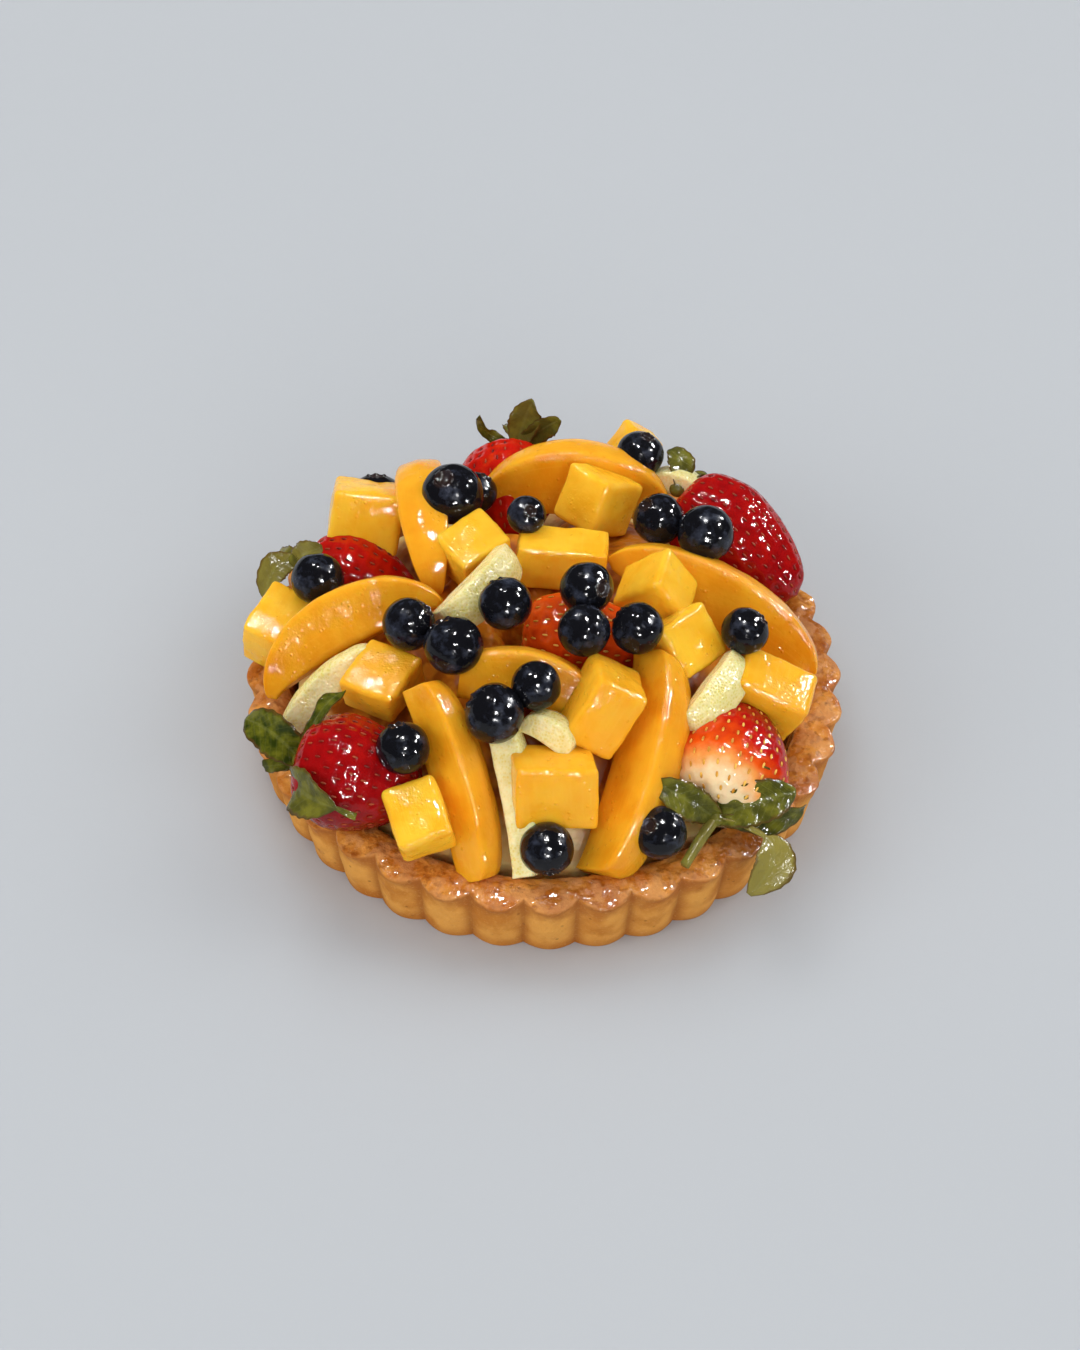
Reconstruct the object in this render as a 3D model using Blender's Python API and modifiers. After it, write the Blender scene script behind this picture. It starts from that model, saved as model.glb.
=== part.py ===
"""Fruit tart: a fluted shortcrust case, filled with pastry cream and heaped with fruit.

Sizes are in metres, +Z is up, and the origin is the middle of the case's flat underside.
Every place and size in the tables is in millimetres, turned into metres by MM.
"""

import math

import bmesh
import bpy
from mathutils import Euler, Matrix, Vector, noise
from mathutils.bvhtree import BVHTree

MM = 0.001

# Case: a shortcrust shell baked in a fluted tin
RIM_RADIUS = 90 * MM
BASE_RADIUS = 86.5 * MM
CASE_HEIGHT = 24 * MM
FLUTES = 36
FLUTE_DEPTH = 2.6 * MM
FLUTE_TURN = math.radians(-2.7)
FRONT_SPREAD = 2.2 * MM
WALL = 11 * MM
FLOOR = 4.5 * MM
STEPS_A_FLUTE = 5

# Filling: pastry cream, mounded under the fruit
CREAM_EDGE = 21.5 * MM
CREAM_MOUND = 30.5 * MM
CREAM_RINGS = 13
CREAM_SPOKES = 40

# Clearance kept between neighbours that touch
GAP = 0.3 * MM

# The fruit is heaped a little off the middle of the case
HEAP_SHIFT = (1.4, 0.0, 0.0)

# Blueberries: middle (x, y, z), radius, and the way the crown faces
BLUEBERRIES = (
    (-31.0, 38.5, 61.0, 9.6, (-0.3, -0.2, 0.9)),
    (-24.0, 49.5, 51.5, 6.6, (0.5, 0.3, 0.8)),
    (-56.0, 55.5, 40.5, 9.2, (0.0, 0.5, 0.8)),
    (-8.0, 27.0, 64.0, 6.0, (0.2, -0.5, 0.8)),
    (27.2, 66.0, 54.0, 7.6, (0.3, 0.2, 0.9)),
    (32.5, 31.5, 59.5, 7.9, (-0.6, 0.0, 0.8)),
    (46.8, 24.0, 61.0, 8.8, (0.0, -0.8, -0.5)),
    (-71.0, 11.5, 49.5, 8.2, (0.1, -0.7, -0.7)),
    (-41.5, -17.5, 61.5, 8.0, (0.7, 0.2, 0.6)),
    (-28.0, -28.4, 64.6, 8.8, (-0.4, 0.5, 0.7)),
    (-13.4, -14.2, 68.0, 8.0, (-0.4, 0.7, 0.5)),
    (10.6, -7.7, 68.5, 8.0, (0.6, -0.5, 0.5)),
    (9.9, -23.0, 66.5, 7.8, (0.2, 0.4, -0.9)),
    (25.5, -20.5, 65.5, 7.8, (-0.8, 0.3, 0.4)),
    (58.0, -12.5, 57.0, 7.2, (0.7, 0.2, 0.6)),
    (-3.7, -42.0, 62.8, 7.3, (0.0, -0.3, -0.9)),
    (-15.5, -50.0, 59.5, 8.8, (-0.8, 0.2, 0.3)),
    (-41.5, -57.5, 52.0, 7.8, (-0.3, 0.5, 0.8)),
    (0.7, -79.0, 34.0, 7.9, (0.2, -0.9, -0.3)),
    (33.2, -73.0, 35.5, 7.8, (-0.5, -0.3, 0.8)),
)

# Mango pieces: middle (x, y, z), edges (length, depth, height),
# then the tilt about X, the tilt about Y and the spin about Z before them, in degrees
MANGO_CUBES = (
    (-58.6, 45.3, 43.5, 22.0, 19.0, 19.5, -28, 5, 3),
    (-23.6, 21.2, 53.4, 17.9, 16.6, 15.0, 6, -5, 37),
    (14.2, 47.5, 51.4, 20.0, 17.0, 18.0, -28, 20, 50),
    (20.8, 74.0, 40.8, 12.0, 11.0, 29.0, -30, 32, 20),
    (3.0, 18.6, 54.0, 27.0, 14.5, 14.0, -9, 4, -2),
    (31.6, 3.8, 55.0, 16.8, 17.6, 17.3, -94, 13, 51),
    (39.2, -13.8, 51.8, 18.6, 17.4, 16.0, 33, 34, 39),
    (64.8, -23.2, 40.7, 23.5, 16.5, 19.9, 7, 20, -15),
    (15.6, -41.0, 53.8, 16.6, 20.0, 22.0, -25, 28, 8),
    (2.0, -62.6, 42.4, 23.5, 17.0, 19.4, -22, 2, 10),
    (-36.4, -71.3, 37.0, 16.2, 19.0, 13.5, 21, -5, 20),
    (-49.1, -28.0, 47.8, 17.9, 18.4, 12.5, 6, -7, -30),
    (-82.5, 4.0, 35.0, 16.0, 20.0, 17.0, 11, 4, -25),
)

# Peach slices: the two ends, the way the skin bulges, rise of the skin and of the pit side, skin width,
# and how blunt the ends are: 0.12 leaves them pointed, 0.6 is cut square
PEACH_SLICES = (
    ((-41.0, 71.0, 33.0), (-34.5, 8.0, 45.0), (-0.15, 0.0, 1.0), 22.5, 3.0, 17.0, 0.12),
    ((-24.0, 53.0, 41.0), (38.0, 53.0, 39.0), (0.0, 0.5, 0.87), 23.0, 0.0, 20.0, 0.12),
    ((-31.0, -4.5, 56.0), (-83.5, -22.5, 30.0), (-0.45, 0.75, 0.5), 20.5, 3.0, 18.0, 0.12),
    ((-34.5, -38.5, 60.0), (-16.0, -82.5, 24.0), (0.85, -0.1, 0.55), 7.5, -8.0, 15.0, 0.6),
    ((35.0, -22.0, 56.0), (19.0, -82.0, 26.0), (0.85, -0.3, 0.42), 11.5, -8.0, 17.0, 0.6),
    ((-26.0, -30.0, 56.0), (12.0, -34.0, 52.0), (0.1, 0.75, 0.65), 9.0, -8.0, 18.0, 0.5),
    ((16.0, 18.0, 53.0), (81.0, -7.0, 30.0), (0.42, 0.65, 0.62), 17.5, -2.0, 20.0, 0.12),
)

# Melon strips: the two ends, the way the rind side faces, width, thickness, bow
MELON_STRIPS = (
    ((-53.0, -18.0, 52.0), (-78.5, -34.0, 32.0), (-0.35, 0.55, 0.75), 10.0, 9.0, 1.0),
    ((-12.0, 14.0, 60.0), (-31.0, -14.0, 58.0), (0.7, -0.4, 0.6), 13.0, 9.0, 3.0),
    ((-15.0, -41.0, 56.5), (-3.0, -82.5, 25.5), (0.8, 0.3, 0.5), 11.0, 10.0, 1.0),
    ((-6.0, -46.0, 54.0), (8.0, -54.0, 50.0), (0.3, 0.5, 0.8), 11.0, 7.0, 2.0),
    ((57.0, -17.5, 50.5), (41.5, -43.0, 47.0), (0.6, -0.3, 0.7), 12.0, 8.0, 2.5),
    ((30.0, 64.0, 44.0), (48.0, 58.0, 44.0), (0.3, 0.4, 0.85), 12.0, 8.0, 3.0),
)

# Strawberries: calyx end, tip, greatest radius
STRAWBERRIES = (
    ((-73.0, -52.0, 38.0), (-36.0, -59.0, 35.0), 18.0),
    ((51.0, -62.0, 31.5), (58.0, -26.0, 38.0), 18.0),
    ((41.0, 55.0, 47.5), (77.5, 29.5, 29.5), 16.2),
    ((-15.0, 79.0, 41.0), (-14.0, 46.0, 33.0), 16.5),
    ((-77.0, 32.0, 33.0), (-42.0, 24.0, 27.0), 15.5),
    ((-8.0, -6.0, 48.0), (32.0, -10.0, 46.0), 14.0),
)

# Calyxes: hub, leaves as (middle, tip, width, stalk share, the way the leaf faces),
# and a stem as (tip, radius)
CALYXES = (
    {
        "hub": (-71.8, -51.0, 37.5),
        "leaves": (
            ((-80.0, -45.0, 42.0), (-89.2, -36.0, 38.5), 13.0, 0.0, (-0.3, -0.6, 0.7)),
            ((-66.5, -44.5, 50.5), (-59.5, -36.0, 51.5), 5.0, 0.0, (-0.6, -0.5, 0.6)),
            ((-69.5, -66.0, 43.0), (-54.5, -74.0, 43.0), 14.0, 0.0, (-0.3, -0.7, 0.6)),
            ((-79.0, -50.0, 34.0), (-83.5, -48.0, 31.0), 5.0, 0.0, (-0.6, -0.4, 0.7)),
        ),
        "stem": None,
    },
    {
        "hub": (49.5, -64.5, 32.5),
        "leaves": (
            ((40.5, -66.0, 42.0), (31.5, -62.0, 44.5), 10.5, 0.0, (-0.1, -0.6, 0.8)),
            ((61.5, -63.0, 38.5), (72.5, -59.0, 38.5), 13.0, 0.0, (0.1, -0.7, 0.7)),
            ((56.0, -58.5, 42.5), (64.5, -56.0, 44.5), 4.5, 0.0, (0.0, -0.6, 0.8)),
            ((66.0, -64.0, 31.5), (76.0, -58.0, 31.5), 8.0, 0.0, (0.5, -0.7, 0.3)),
            ((65.5, -73.0, 31.0), (59.5, -83.0, 20.5), 13.5, 0.42, (0.4, -0.8, 0.4)),
        ),
        "stem": ((40.5, -80.0, 29.5), 1.7),
    },
    {
        "hub": (39.5, 58.0, 47.0),
        "leaves": (
            ((40.0, 64.5, 52.0), (36.5, 69.5, 53.0), 8.5, 0.0, (0.3, -0.6, 0.8)),
            ((46.0, 65.0, 46.0), (52.0, 65.0, 40.0), 8.0, 0.0, (0.4, 0.6, 0.6)),
        ),
        "stem": None,
    },
    {
        "hub": (-12.0, 81.0, 42.0),
        "leaves": (
            ((-9.5, 83.5, 52.0), (-7.0, 82.5, 60.5), 10.5, 0.0, (0.0, -0.8, 0.5)),
            ((-4.0, 82.0, 49.0), (1.5, 80.0, 55.0), 8.0, 0.0, (0.2, -0.8, 0.5)),
            ((-21.5, 84.0, 45.0), (-24.3, 82.0, 54.0), 4.0, 0.0, (-0.2, -0.8, 0.5)),
            ((-13.0, 90.0, 42.0), (-13.0, 95.0, 36.0), 8.0, 0.0, (0.0, 0.6, 0.8)),
        ),
        "stem": None,
    },
    {
        "hub": (-79.5, 31.5, 37.0),
        "leaves": (
            ((-76.0, 25.0, 46.5), (-70.5, 24.5, 50.0), 8.5, 0.0, (-0.3, -0.6, 0.7)),
            ((-86.5, 27.5, 36.0), (-88.5, 20.5, 29.5), 9.5, 0.0, (-0.4, -0.6, 0.7)),
            ((-86.0, 37.0, 33.0), (-89.0, 41.0, 27.0), 8.0, 0.0, (-0.6, 0.4, 0.6)),
        ),
        "stem": None,
    },
)

# Looks, as base colour, roughness
FINISHES = {
    "baked_pastry": ((0.72, 0.42, 0.16), 0.65),
    "pastry_cream": ((0.86, 0.68, 0.36), 0.35),
    "blueberry_skin": ((0.015, 0.016, 0.035), 0.25),
    "mango_flesh": ((0.95, 0.55, 0.04), 0.25),
    "peach_flesh": ((0.90, 0.38, 0.02), 0.25),
    "melon_flesh": ((0.78, 0.74, 0.30), 0.25),
    "strawberry_flesh": ((0.62, 0.02, 0.02), 0.25),
    "calyx_leaf": ((0.08, 0.14, 0.02), 0.45),
}


def clear_scene():
    for obj in list(bpy.data.objects):
        bpy.data.objects.remove(obj, do_unlink=True)


def new_collection(name):
    collection = bpy.data.collections.new(name)
    bpy.context.scene.collection.children.link(collection)
    return collection


def finish(name):
    material = bpy.data.materials.get(name)
    if material is None:
        colour, roughness = FINISHES[name]
        material = bpy.data.materials.new(name)
        material.use_nodes = True
        shader = material.node_tree.nodes["Principled BSDF"]
        shader.inputs["Base Color"].default_value = (*colour, 1.0)
        shader.inputs["Roughness"].default_value = roughness
        shader.inputs["Metallic"].default_value = 0.0
    return material


def millimetres(size):
    return Vector(size) * MM


def placed(point):
    """A place from the tables, with the heap's shift."""
    return (Vector(point) + Vector(HEAP_SHIFT)) * MM


def add_object(name, mesh, collection, finish_name=None):
    obj = bpy.data.objects.new(name, mesh)
    collection.objects.link(obj)
    if finish_name:
        mesh.materials.clear()
        mesh.materials.append(finish(finish_name))
    return obj


def mesh_from(bm, name):
    mesh = bpy.data.meshes.new(name)
    bm.to_mesh(mesh)
    bm.free()
    return mesh


def realise(obj):
    """Applies an object's modifiers and its place, so that its mesh is the piece itself."""
    bpy.context.view_layer.update()
    evaluated = obj.evaluated_get(bpy.context.evaluated_depsgraph_get())
    mesh = bpy.data.meshes.new_from_object(evaluated)
    mesh.transform(obj.matrix_world)
    obj.modifiers.clear()
    obj.data = mesh
    obj.matrix_world = Matrix.Identity(4)
    return obj


def face_outwards(obj):
    bm = bmesh.new()
    bm.from_mesh(obj.data)
    bmesh.ops.remove_doubles(bm, verts=bm.verts, dist=0.01 * MM)
    bmesh.ops.recalc_face_normals(bm, faces=bm.faces)
    bm.to_mesh(obj.data)
    bm.free()


def turn_to(obj, direction):
    """Turns an object's own Z axis to a direction."""
    obj.rotation_mode = "QUATERNION"
    obj.rotation_quaternion = Vector(direction).normalized().to_track_quat("Z", "Y")


def measure(mesh):
    """Whether a mesh is closed, and its volume."""
    bm = bmesh.new()
    bm.from_mesh(mesh)
    closed = len(bm.faces) > 3 and all(len(edge.link_faces) == 2 for edge in bm.edges)
    volume = bm.calc_volume(signed=False)
    bm.free()
    return closed, volume


def largest_piece(mesh, merge):
    """A copy of a cut mesh with near-doubled points merged and loose scraps dropped."""
    bm = bmesh.new()
    bm.from_mesh(mesh)
    bmesh.ops.remove_doubles(bm, verts=bm.verts, dist=merge)
    bmesh.ops.dissolve_degenerate(bm, edges=bm.edges, dist=merge)
    unseen = set(bm.verts)
    groups = []
    while unseen:
        start = unseen.pop()
        group = {start}
        front = [start]
        while front:
            for link in front.pop().link_edges:
                for vert in link.verts:
                    if vert in unseen:
                        unseen.remove(vert)
                        group.add(vert)
                        front.append(vert)
        groups.append(group)
    groups.sort(key=len)
    for group in groups[:-1]:
        bmesh.ops.delete(bm, geom=list(group), context="VERTS")
    return mesh_from(bm, mesh.name)


def combine(obj, other, operation):
    """Joins or cuts with the exact solver, or with the manifold solver where that one fails."""
    before = obj.data.copy()
    least = measure(before)[1] * 0.35
    for solver in ("EXACT", "MANIFOLD"):
        obj.data = before.copy()
        change = obj.modifiers.new("Join or cut", "BOOLEAN")
        change.operation = operation
        change.object = other
        change.solver = solver
        realise(obj)
        for merge in (0.02 * MM, 0.002 * MM, 0.0001 * MM):
            mesh = largest_piece(obj.data, merge)
            closed, volume = measure(mesh)
            if closed and volume > least:
                obj.data = mesh
                return
    raise RuntimeError(f"{obj.name} can't be combined with {other.name}")


def join_flat_faces(obj):
    bm = bmesh.new()
    bm.from_mesh(obj.data)
    bmesh.ops.dissolve_limit(bm, angle_limit=math.radians(0.5), verts=bm.verts, edges=bm.edges)
    mesh = mesh_from(bm, obj.name)
    if measure(mesh)[0]:
        obj.data = mesh


# Turned pieces


def turned(name, profile, steps, collection, finish_name):
    """A profile of (radius, height) points, run down its outer side, turned about Z."""
    bm = bmesh.new()
    verts = [bm.verts.new((radius, 0, height)) for radius, height in profile]
    for one, two in zip(verts, verts[1:]):
        bm.edges.new((one, two))
    obj = add_object(name, mesh_from(bm, name), collection, finish_name)
    screw = obj.modifiers.new("Turn", "SCREW")
    screw.steps = steps
    screw.render_steps = steps
    screw.use_merge_vertices = True
    screw.merge_threshold = 0.01 * MM
    return obj


def blueberry(name, middle, radius, crown, collection):
    """A slightly flattened ball with a dimpled crown at its top."""
    outline = ((0, 0.74), (0.24, 0.76), (0.36, 0.96), (0.74, 0.68), (1.0, 0.06),
               (0.82, -0.60), (0.44, -0.90), (0, -0.97))
    profile = [(r * radius * MM, h * radius * MM) for r, h in outline]
    obj = turned(name, profile, 9, collection, "blueberry_skin")
    obj.location = placed(middle)
    turn_to(obj, crown)
    return realise(obj)


def strawberry(name, calyx, tip, radius, collection):
    """A blunt cone: dished shoulder at the calyx, rounded tip."""
    calyx, tip = placed(calyx), placed(tip)
    length = (calyx - tip).length
    outline = ((0, 0.97), (0.34, 1.0), (0.74, 0.93), (0.97, 0.74), (1.0, 0.60),
               (0.90, 0.40), (0.68, 0.20), (0.38, 0.05), (0, 0))
    profile = [(r * radius * MM, h * length) for r, h in outline]
    obj = turned(name, profile, 12, collection, "strawberry_flesh")
    obj.location = tip
    turn_to(obj, calyx - tip)
    return realise(obj)


# Cut pieces


def mango_cube(name, middle, edges, turns, collection):
    """A knife-cut block with softened edges."""
    bm = bmesh.new()
    bmesh.ops.create_cube(bm, size=1.0)
    bmesh.ops.scale(bm, vec=millimetres(edges), verts=bm.verts)
    obj = add_object(name, mesh_from(bm, name), collection, "mango_flesh")
    bevel = obj.modifiers.new("Softened edges", "BEVEL")
    bevel.width = 1.6 * MM
    bevel.segments = 1
    obj.location = placed(middle)
    obj.rotation_mode = "ZYX"
    obj.rotation_euler = Euler([math.radians(turn) for turn in turns], "ZYX")
    return realise(obj)


def crescent(name, one, two, outward, skin_rise, core_rise, skin_width, core_width, blunt, collection,
             finish_name, stations=10):
    """A wedge cut from a round fruit: skin side, two cut sides and the hollow core side, lofted tip to tip."""
    one, two = placed(one), placed(two)
    along = (two - one).normalized()
    out = Vector(outward)
    out = (out - along * out.dot(along)).normalized()
    across = out.cross(along)
    middle = (one + two) / 2
    half = (two - one).length / 2
    bm = bmesh.new()
    rings = []
    for station in range(stations):
        angle = math.radians(-84 + 168 * station / (stations - 1))
        taper = blunt + (1 - blunt) * math.cos(angle) ** 0.8
        skin = middle + along * half * math.sin(angle) + out * skin_rise * MM * math.cos(angle)
        core_reach = half * (0.93 if blunt < 0.4 else 0.985)
        core = middle + along * core_reach * math.sin(angle) + out * core_rise * MM * math.cos(angle)
        if blunt >= 0.4:
            core = core - out * (skin_rise - core_rise) * MM * blunt * (1 - math.cos(angle))
        wide, narrow = skin_width * MM / 2 * taper, core_width * MM / 2 * taper
        waist = (skin + core) / 2
        bulge = out * 0.12 * wide
        ring = (
            skin - across * wide - bulge, skin + bulge, skin + across * wide - bulge,
            waist + across * (wide + narrow) / 2,
            core + across * narrow, core, core - across * narrow,
            waist - across * (wide + narrow) / 2,
        )
        rings.append([bm.verts.new(point) for point in ring])
    for near, far in zip(rings, rings[1:]):
        for i in range(len(near)):
            j = (i + 1) % len(near)
            bm.faces.new((near[i], near[j], far[j], far[i]))
    bm.faces.new(rings[0][::-1])
    bm.faces.new(rings[-1])
    bmesh.ops.triangulate(bm, faces=bm.faces)
    obj = add_object(name, mesh_from(bm, name), collection, finish_name)
    face_outwards(obj)
    return obj


# Calyxes


def leaf(name, root, middle, tip, width, stalk_share, facing, grow, collection):
    """A pointed leaf arched through its middle, folded a little along its midrib, as a thin solid."""
    root, middle, tip = placed(root), placed(middle), placed(tip)
    pull = middle * 2 - (root + tip) / 2
    stations = 7 if stalk_share else 5
    bm = bmesh.new()
    rows = []
    for station in range(stations):
        t = station / (stations - 1)
        spine = root * (1 - t) ** 2 + pull * 2 * t * (1 - t) + tip * t ** 2
        along = (pull - root) * (1 - t) + (tip - pull) * t
        side = along.cross(Vector(facing)).normalized()
        up = side.cross(along).normalized()
        blade = max(0.0, (t - stalk_share) / (1 - stalk_share))
        half = width * MM / 2 * max(0.14, math.sin(math.pi * (0.1 + 0.88 * blade)) ** 0.8)
        if t < stalk_share:
            half = 0.9 * MM
        half += grow
        fold = up * half * 0.28
        wave = up * 0.5 * MM * math.sin(9 * t)
        rows.append([bm.verts.new(spine - side * half + fold + wave),
                     bm.verts.new(spine), bm.verts.new(spine + side * half + fold - wave)])
    for near, far in zip(rows, rows[1:]):
        for i in range(2):
            bm.faces.new((near[i], near[i + 1], far[i + 1], far[i]))
    bmesh.ops.triangulate(bm, faces=bm.faces)
    obj = add_object(name, mesh_from(bm, name), collection, "calyx_leaf")
    solid = obj.modifiers.new("Leaf thickness", "SOLIDIFY")
    solid.thickness = 0.9 * MM + 2 * grow
    solid.offset = 0
    return realise(obj)


def stalk(name, root, tip, radius, grow, collection):
    root, tip = placed(root), placed(tip)
    bm = bmesh.new()
    bmesh.ops.create_cone(bm, cap_ends=True, segments=8, radius1=radius * MM + grow,
                          radius2=radius * 0.8 * MM + grow, depth=(tip - root).length + 2 * grow)
    obj = add_object(name, mesh_from(bm, name), collection, "calyx_leaf")
    obj.location = (root + tip) / 2
    turn_to(obj, tip - root)
    return realise(obj)


def calyx_pieces(name, spec, grow, collection):
    """A calyx's hub, leaves and stem, each grown all round by a clearance when they are to cut with."""
    bm = bmesh.new()
    bmesh.ops.create_icosphere(bm, subdivisions=1, radius=3.0 * MM + grow)
    hub = add_object(name, mesh_from(bm, name), collection, "calyx_leaf")
    hub.location = placed(spec["hub"])
    pieces = [realise(hub)]
    for count, (middle, tip, width, stalk_share, facing) in enumerate(spec["leaves"], 1):
        pieces.append(leaf(f"{name}_leaf_{count}", spec["hub"], middle, tip, width, stalk_share, facing, grow,
                           collection))
    if spec["stem"]:
        tip, radius = spec["stem"]
        pieces.append(stalk(f"{name}_stem", spec["hub"], tip, radius, grow, collection))
    return pieces


def calyx(name, spec, collection):
    """Hub, leaves and stem, joined."""
    hub, *others = calyx_pieces(name, spec, 0.0, collection)
    for obj in others:
        combine(hub, obj, "UNION")
        bpy.data.objects.remove(obj, do_unlink=True)
    return hub


# Case and filling


def flute_share(angle):
    """0 in a groove, 1 on a ridge: rounded ridges that meet in tight grooves."""
    return abs(math.sin(FLUTES * (angle - FLUTE_TURN) / 2)) ** 0.9


def crest_height(angle):
    """The rim's top wavers as baked dough does."""
    wander = noise.noise(Vector((3 * math.cos(angle), 3 * math.sin(angle), 0.7)))
    return CASE_HEIGHT + 1.3 * wander * MM


def wall_radius(height):
    return BASE_RADIUS + (RIM_RADIUS - BASE_RADIUS) * height / CASE_HEIGHT


def spread(angle):
    """How far the case has spread at an angle: most at the front, as it isn't quite round."""
    return FRONT_SPREAD * max(0.0, math.cos(angle + math.radians(70))) ** 2


def inner_radius(height):
    return wall_radius(height) - WALL


def bowl_radius(height):
    """The inside of the wall, which leans out from the floor to the rim."""
    share = (height - FLOOR) / (CASE_HEIGHT - FLOOR)
    return inner_radius(0) - 1.5 * MM + (RIM_RADIUS - BASE_RADIUS + 1.5 * MM) * share


def tart_case(collection):
    """The shell: fluted outside, plainer inside, open at the top, its rim's lip hanging over each ridge."""
    bm = bmesh.new()
    count = FLUTES * STEPS_A_FLUTE
    rings = []
    for level in range(8):
        ring = []
        for step in range(count):
            angle = FLUTE_TURN + 2 * math.pi * step / count
            ridge = flute_share(angle)
            out = FLUTE_DEPTH * (ridge - 0.5)
            top = crest_height(angle)
            lip = top - 0.4 * MM - 1.2 * ridge * MM
            radius, height = (
                (wall_radius(0) - 1.4 * MM + 0.8 * out, 0),
                (wall_radius(0) + out, 1.2 * MM),
                (wall_radius(0.84 * top) + 1.1 * out, 0.84 * lip),
                (wall_radius(top) + 1.5 * out, lip - 0.7 * MM),
                (wall_radius(top) - 1.6 * MM + 1.3 * out, lip + 0.3 * MM),
                (wall_radius(top) - 5.5 * MM + 0.5 * out, top),
                (inner_radius(top) + 0.1 * out, top - 1.0 * MM),
                (inner_radius(0) - 1.5 * MM, FLOOR),
            )[level]
            radius += spread(angle)
            ring.append(bm.verts.new((radius * math.cos(angle), radius * math.sin(angle), height)))
        rings.append(ring)
    for lower, upper in zip(rings, rings[1:]):
        for i in range(count):
            j = (i + 1) % count
            bm.faces.new((lower[i], lower[j], upper[j], upper[i]))
    bm.faces.new(rings[0][::-1])
    bm.faces.new(rings[-1])
    return add_object("tart_case", mesh_from(bm, "tart_case"), collection, "baked_pastry")


def rim_guard(collection):
    """The room that the case takes, which the fruit on it stays out of."""
    top = max(crest_height(2 * math.pi * step / 360) for step in range(360)) + GAP
    inner_top = inner_radius(top) - 0.6 * MM
    inner_low = inner_radius(0) - 2.4 * MM
    outer = RIM_RADIUS + 8 * MM
    guard = turned("rim_guard", ((inner_top, top), (outer, top), (outer, -2 * MM), (inner_low, -2 * MM),
                                 (inner_top, top)), 48, collection, None)
    realise(guard)
    face_outwards(guard)
    return guard


def pastry_cream(fruit, collection):
    """The filling: a mound pressed down wherever a piece of fruit lies on it."""
    trees = [tree_of(obj) for obj in fruit]
    ground = FLOOR + GAP
    edge = bowl_radius(CREAM_EDGE) - 1.0 * MM
    bm = bmesh.new()
    rings = []
    nearby = [Vector((0, 0, 0))]
    reach = edge / CREAM_RINGS
    for share in (0.4, 0.75, 1.05):
        for turn in range(12):
            angle = math.pi * (turn + share) / 6
            nearby.append(Vector((math.cos(angle), math.sin(angle), 0)) * reach * share)

    def top_of(x, y):
        radius = math.hypot(x, y)
        mound = CREAM_EDGE + CREAM_MOUND * max(0.0, 1 - (radius / (0.96 * edge)) ** 2.6)
        for offset in nearby:
            start = Vector((x, y, ground)) + offset
            for tree in trees:
                hit = tree.ray_cast(start, Vector((0, 0, 1)))[0]
                if hit is not None:
                    mound = min(mound, hit.z - 2 * GAP)
        return max(mound, ground + 2 * MM)

    for ring in range(1, CREAM_RINGS + 1):
        radius = edge * ring / CREAM_RINGS
        row = []
        for spoke in range(CREAM_SPOKES):
            angle = 2 * math.pi * spoke / CREAM_SPOKES
            x, y = radius * math.cos(angle), radius * math.sin(angle)
            height = top_of(x, y)
            pull = min(1.0, (bowl_radius(height) - 1.0 * MM) / radius)
            row.append(bm.verts.new((x * pull, y * pull, height)))
        rings.append(row)
    centre = bm.verts.new((0, 0, top_of(0, 0)))
    low_radius = inner_radius(0) - 3.0 * MM
    base = []
    for spoke in range(CREAM_SPOKES):
        angle = 2 * math.pi * spoke / CREAM_SPOKES
        base.append(bm.verts.new((low_radius * math.cos(angle), low_radius * math.sin(angle), ground)))
    for spoke in range(CREAM_SPOKES):
        after = (spoke + 1) % CREAM_SPOKES
        bm.faces.new((centre, rings[0][spoke], rings[0][after]))
        for inside, outside in zip(rings, rings[1:]):
            bm.faces.new((inside[spoke], outside[spoke], outside[after], inside[after]))
        bm.faces.new((rings[-1][spoke], base[spoke], base[after], rings[-1][after]))
    bm.faces.new(base[::-1])
    obj = add_object("pastry_cream", mesh_from(bm, "pastry_cream"), collection, "pastry_cream")
    face_outwards(obj)
    return obj


# Laying the fruit


def tree_of(obj):
    bm = bmesh.new()
    bm.from_mesh(obj.data)
    tree = BVHTree.FromBMesh(bm)
    bm.free()
    return tree


def with_clearance(obj, collection):
    """A copy grown by the gap all round, to cut a neighbour with."""
    bm = bmesh.new()
    bm.from_mesh(obj.data)
    bmesh.ops.recalc_face_normals(bm, faces=bm.faces)
    bm.normal_update()
    grown = [vert.co + vert.normal * GAP * min(1.6, vert.calc_shell_factor()) * 1.15 for vert in bm.verts]
    for vert, place in zip(bm.verts, grown):
        vert.co = place
    return add_object("room_for_" + obj.name, mesh_from(bm, obj.name), collection)


def touches(one, two):
    return bool(tree_of(one).overlap(tree_of(two)))


def lay(fruit, rooms, guard):
    """Soft fruit gives way to the rim, and to what is laid on it later."""
    order = {obj: index for index, obj in enumerate(fruit)}
    for index, obj in enumerate(fruit):
        if touches(obj, guard):
            combine(obj, guard, "DIFFERENCE")
        for owner, room in rooms:
            if order[owner] > index and touches(obj, room):
                combine(obj, room, "DIFFERENCE")
        join_flat_faces(obj)


def shade(obj, angle):
    obj.data.shade_smooth()
    obj.data.set_sharp_from_angle(angle=math.radians(angle))


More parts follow.
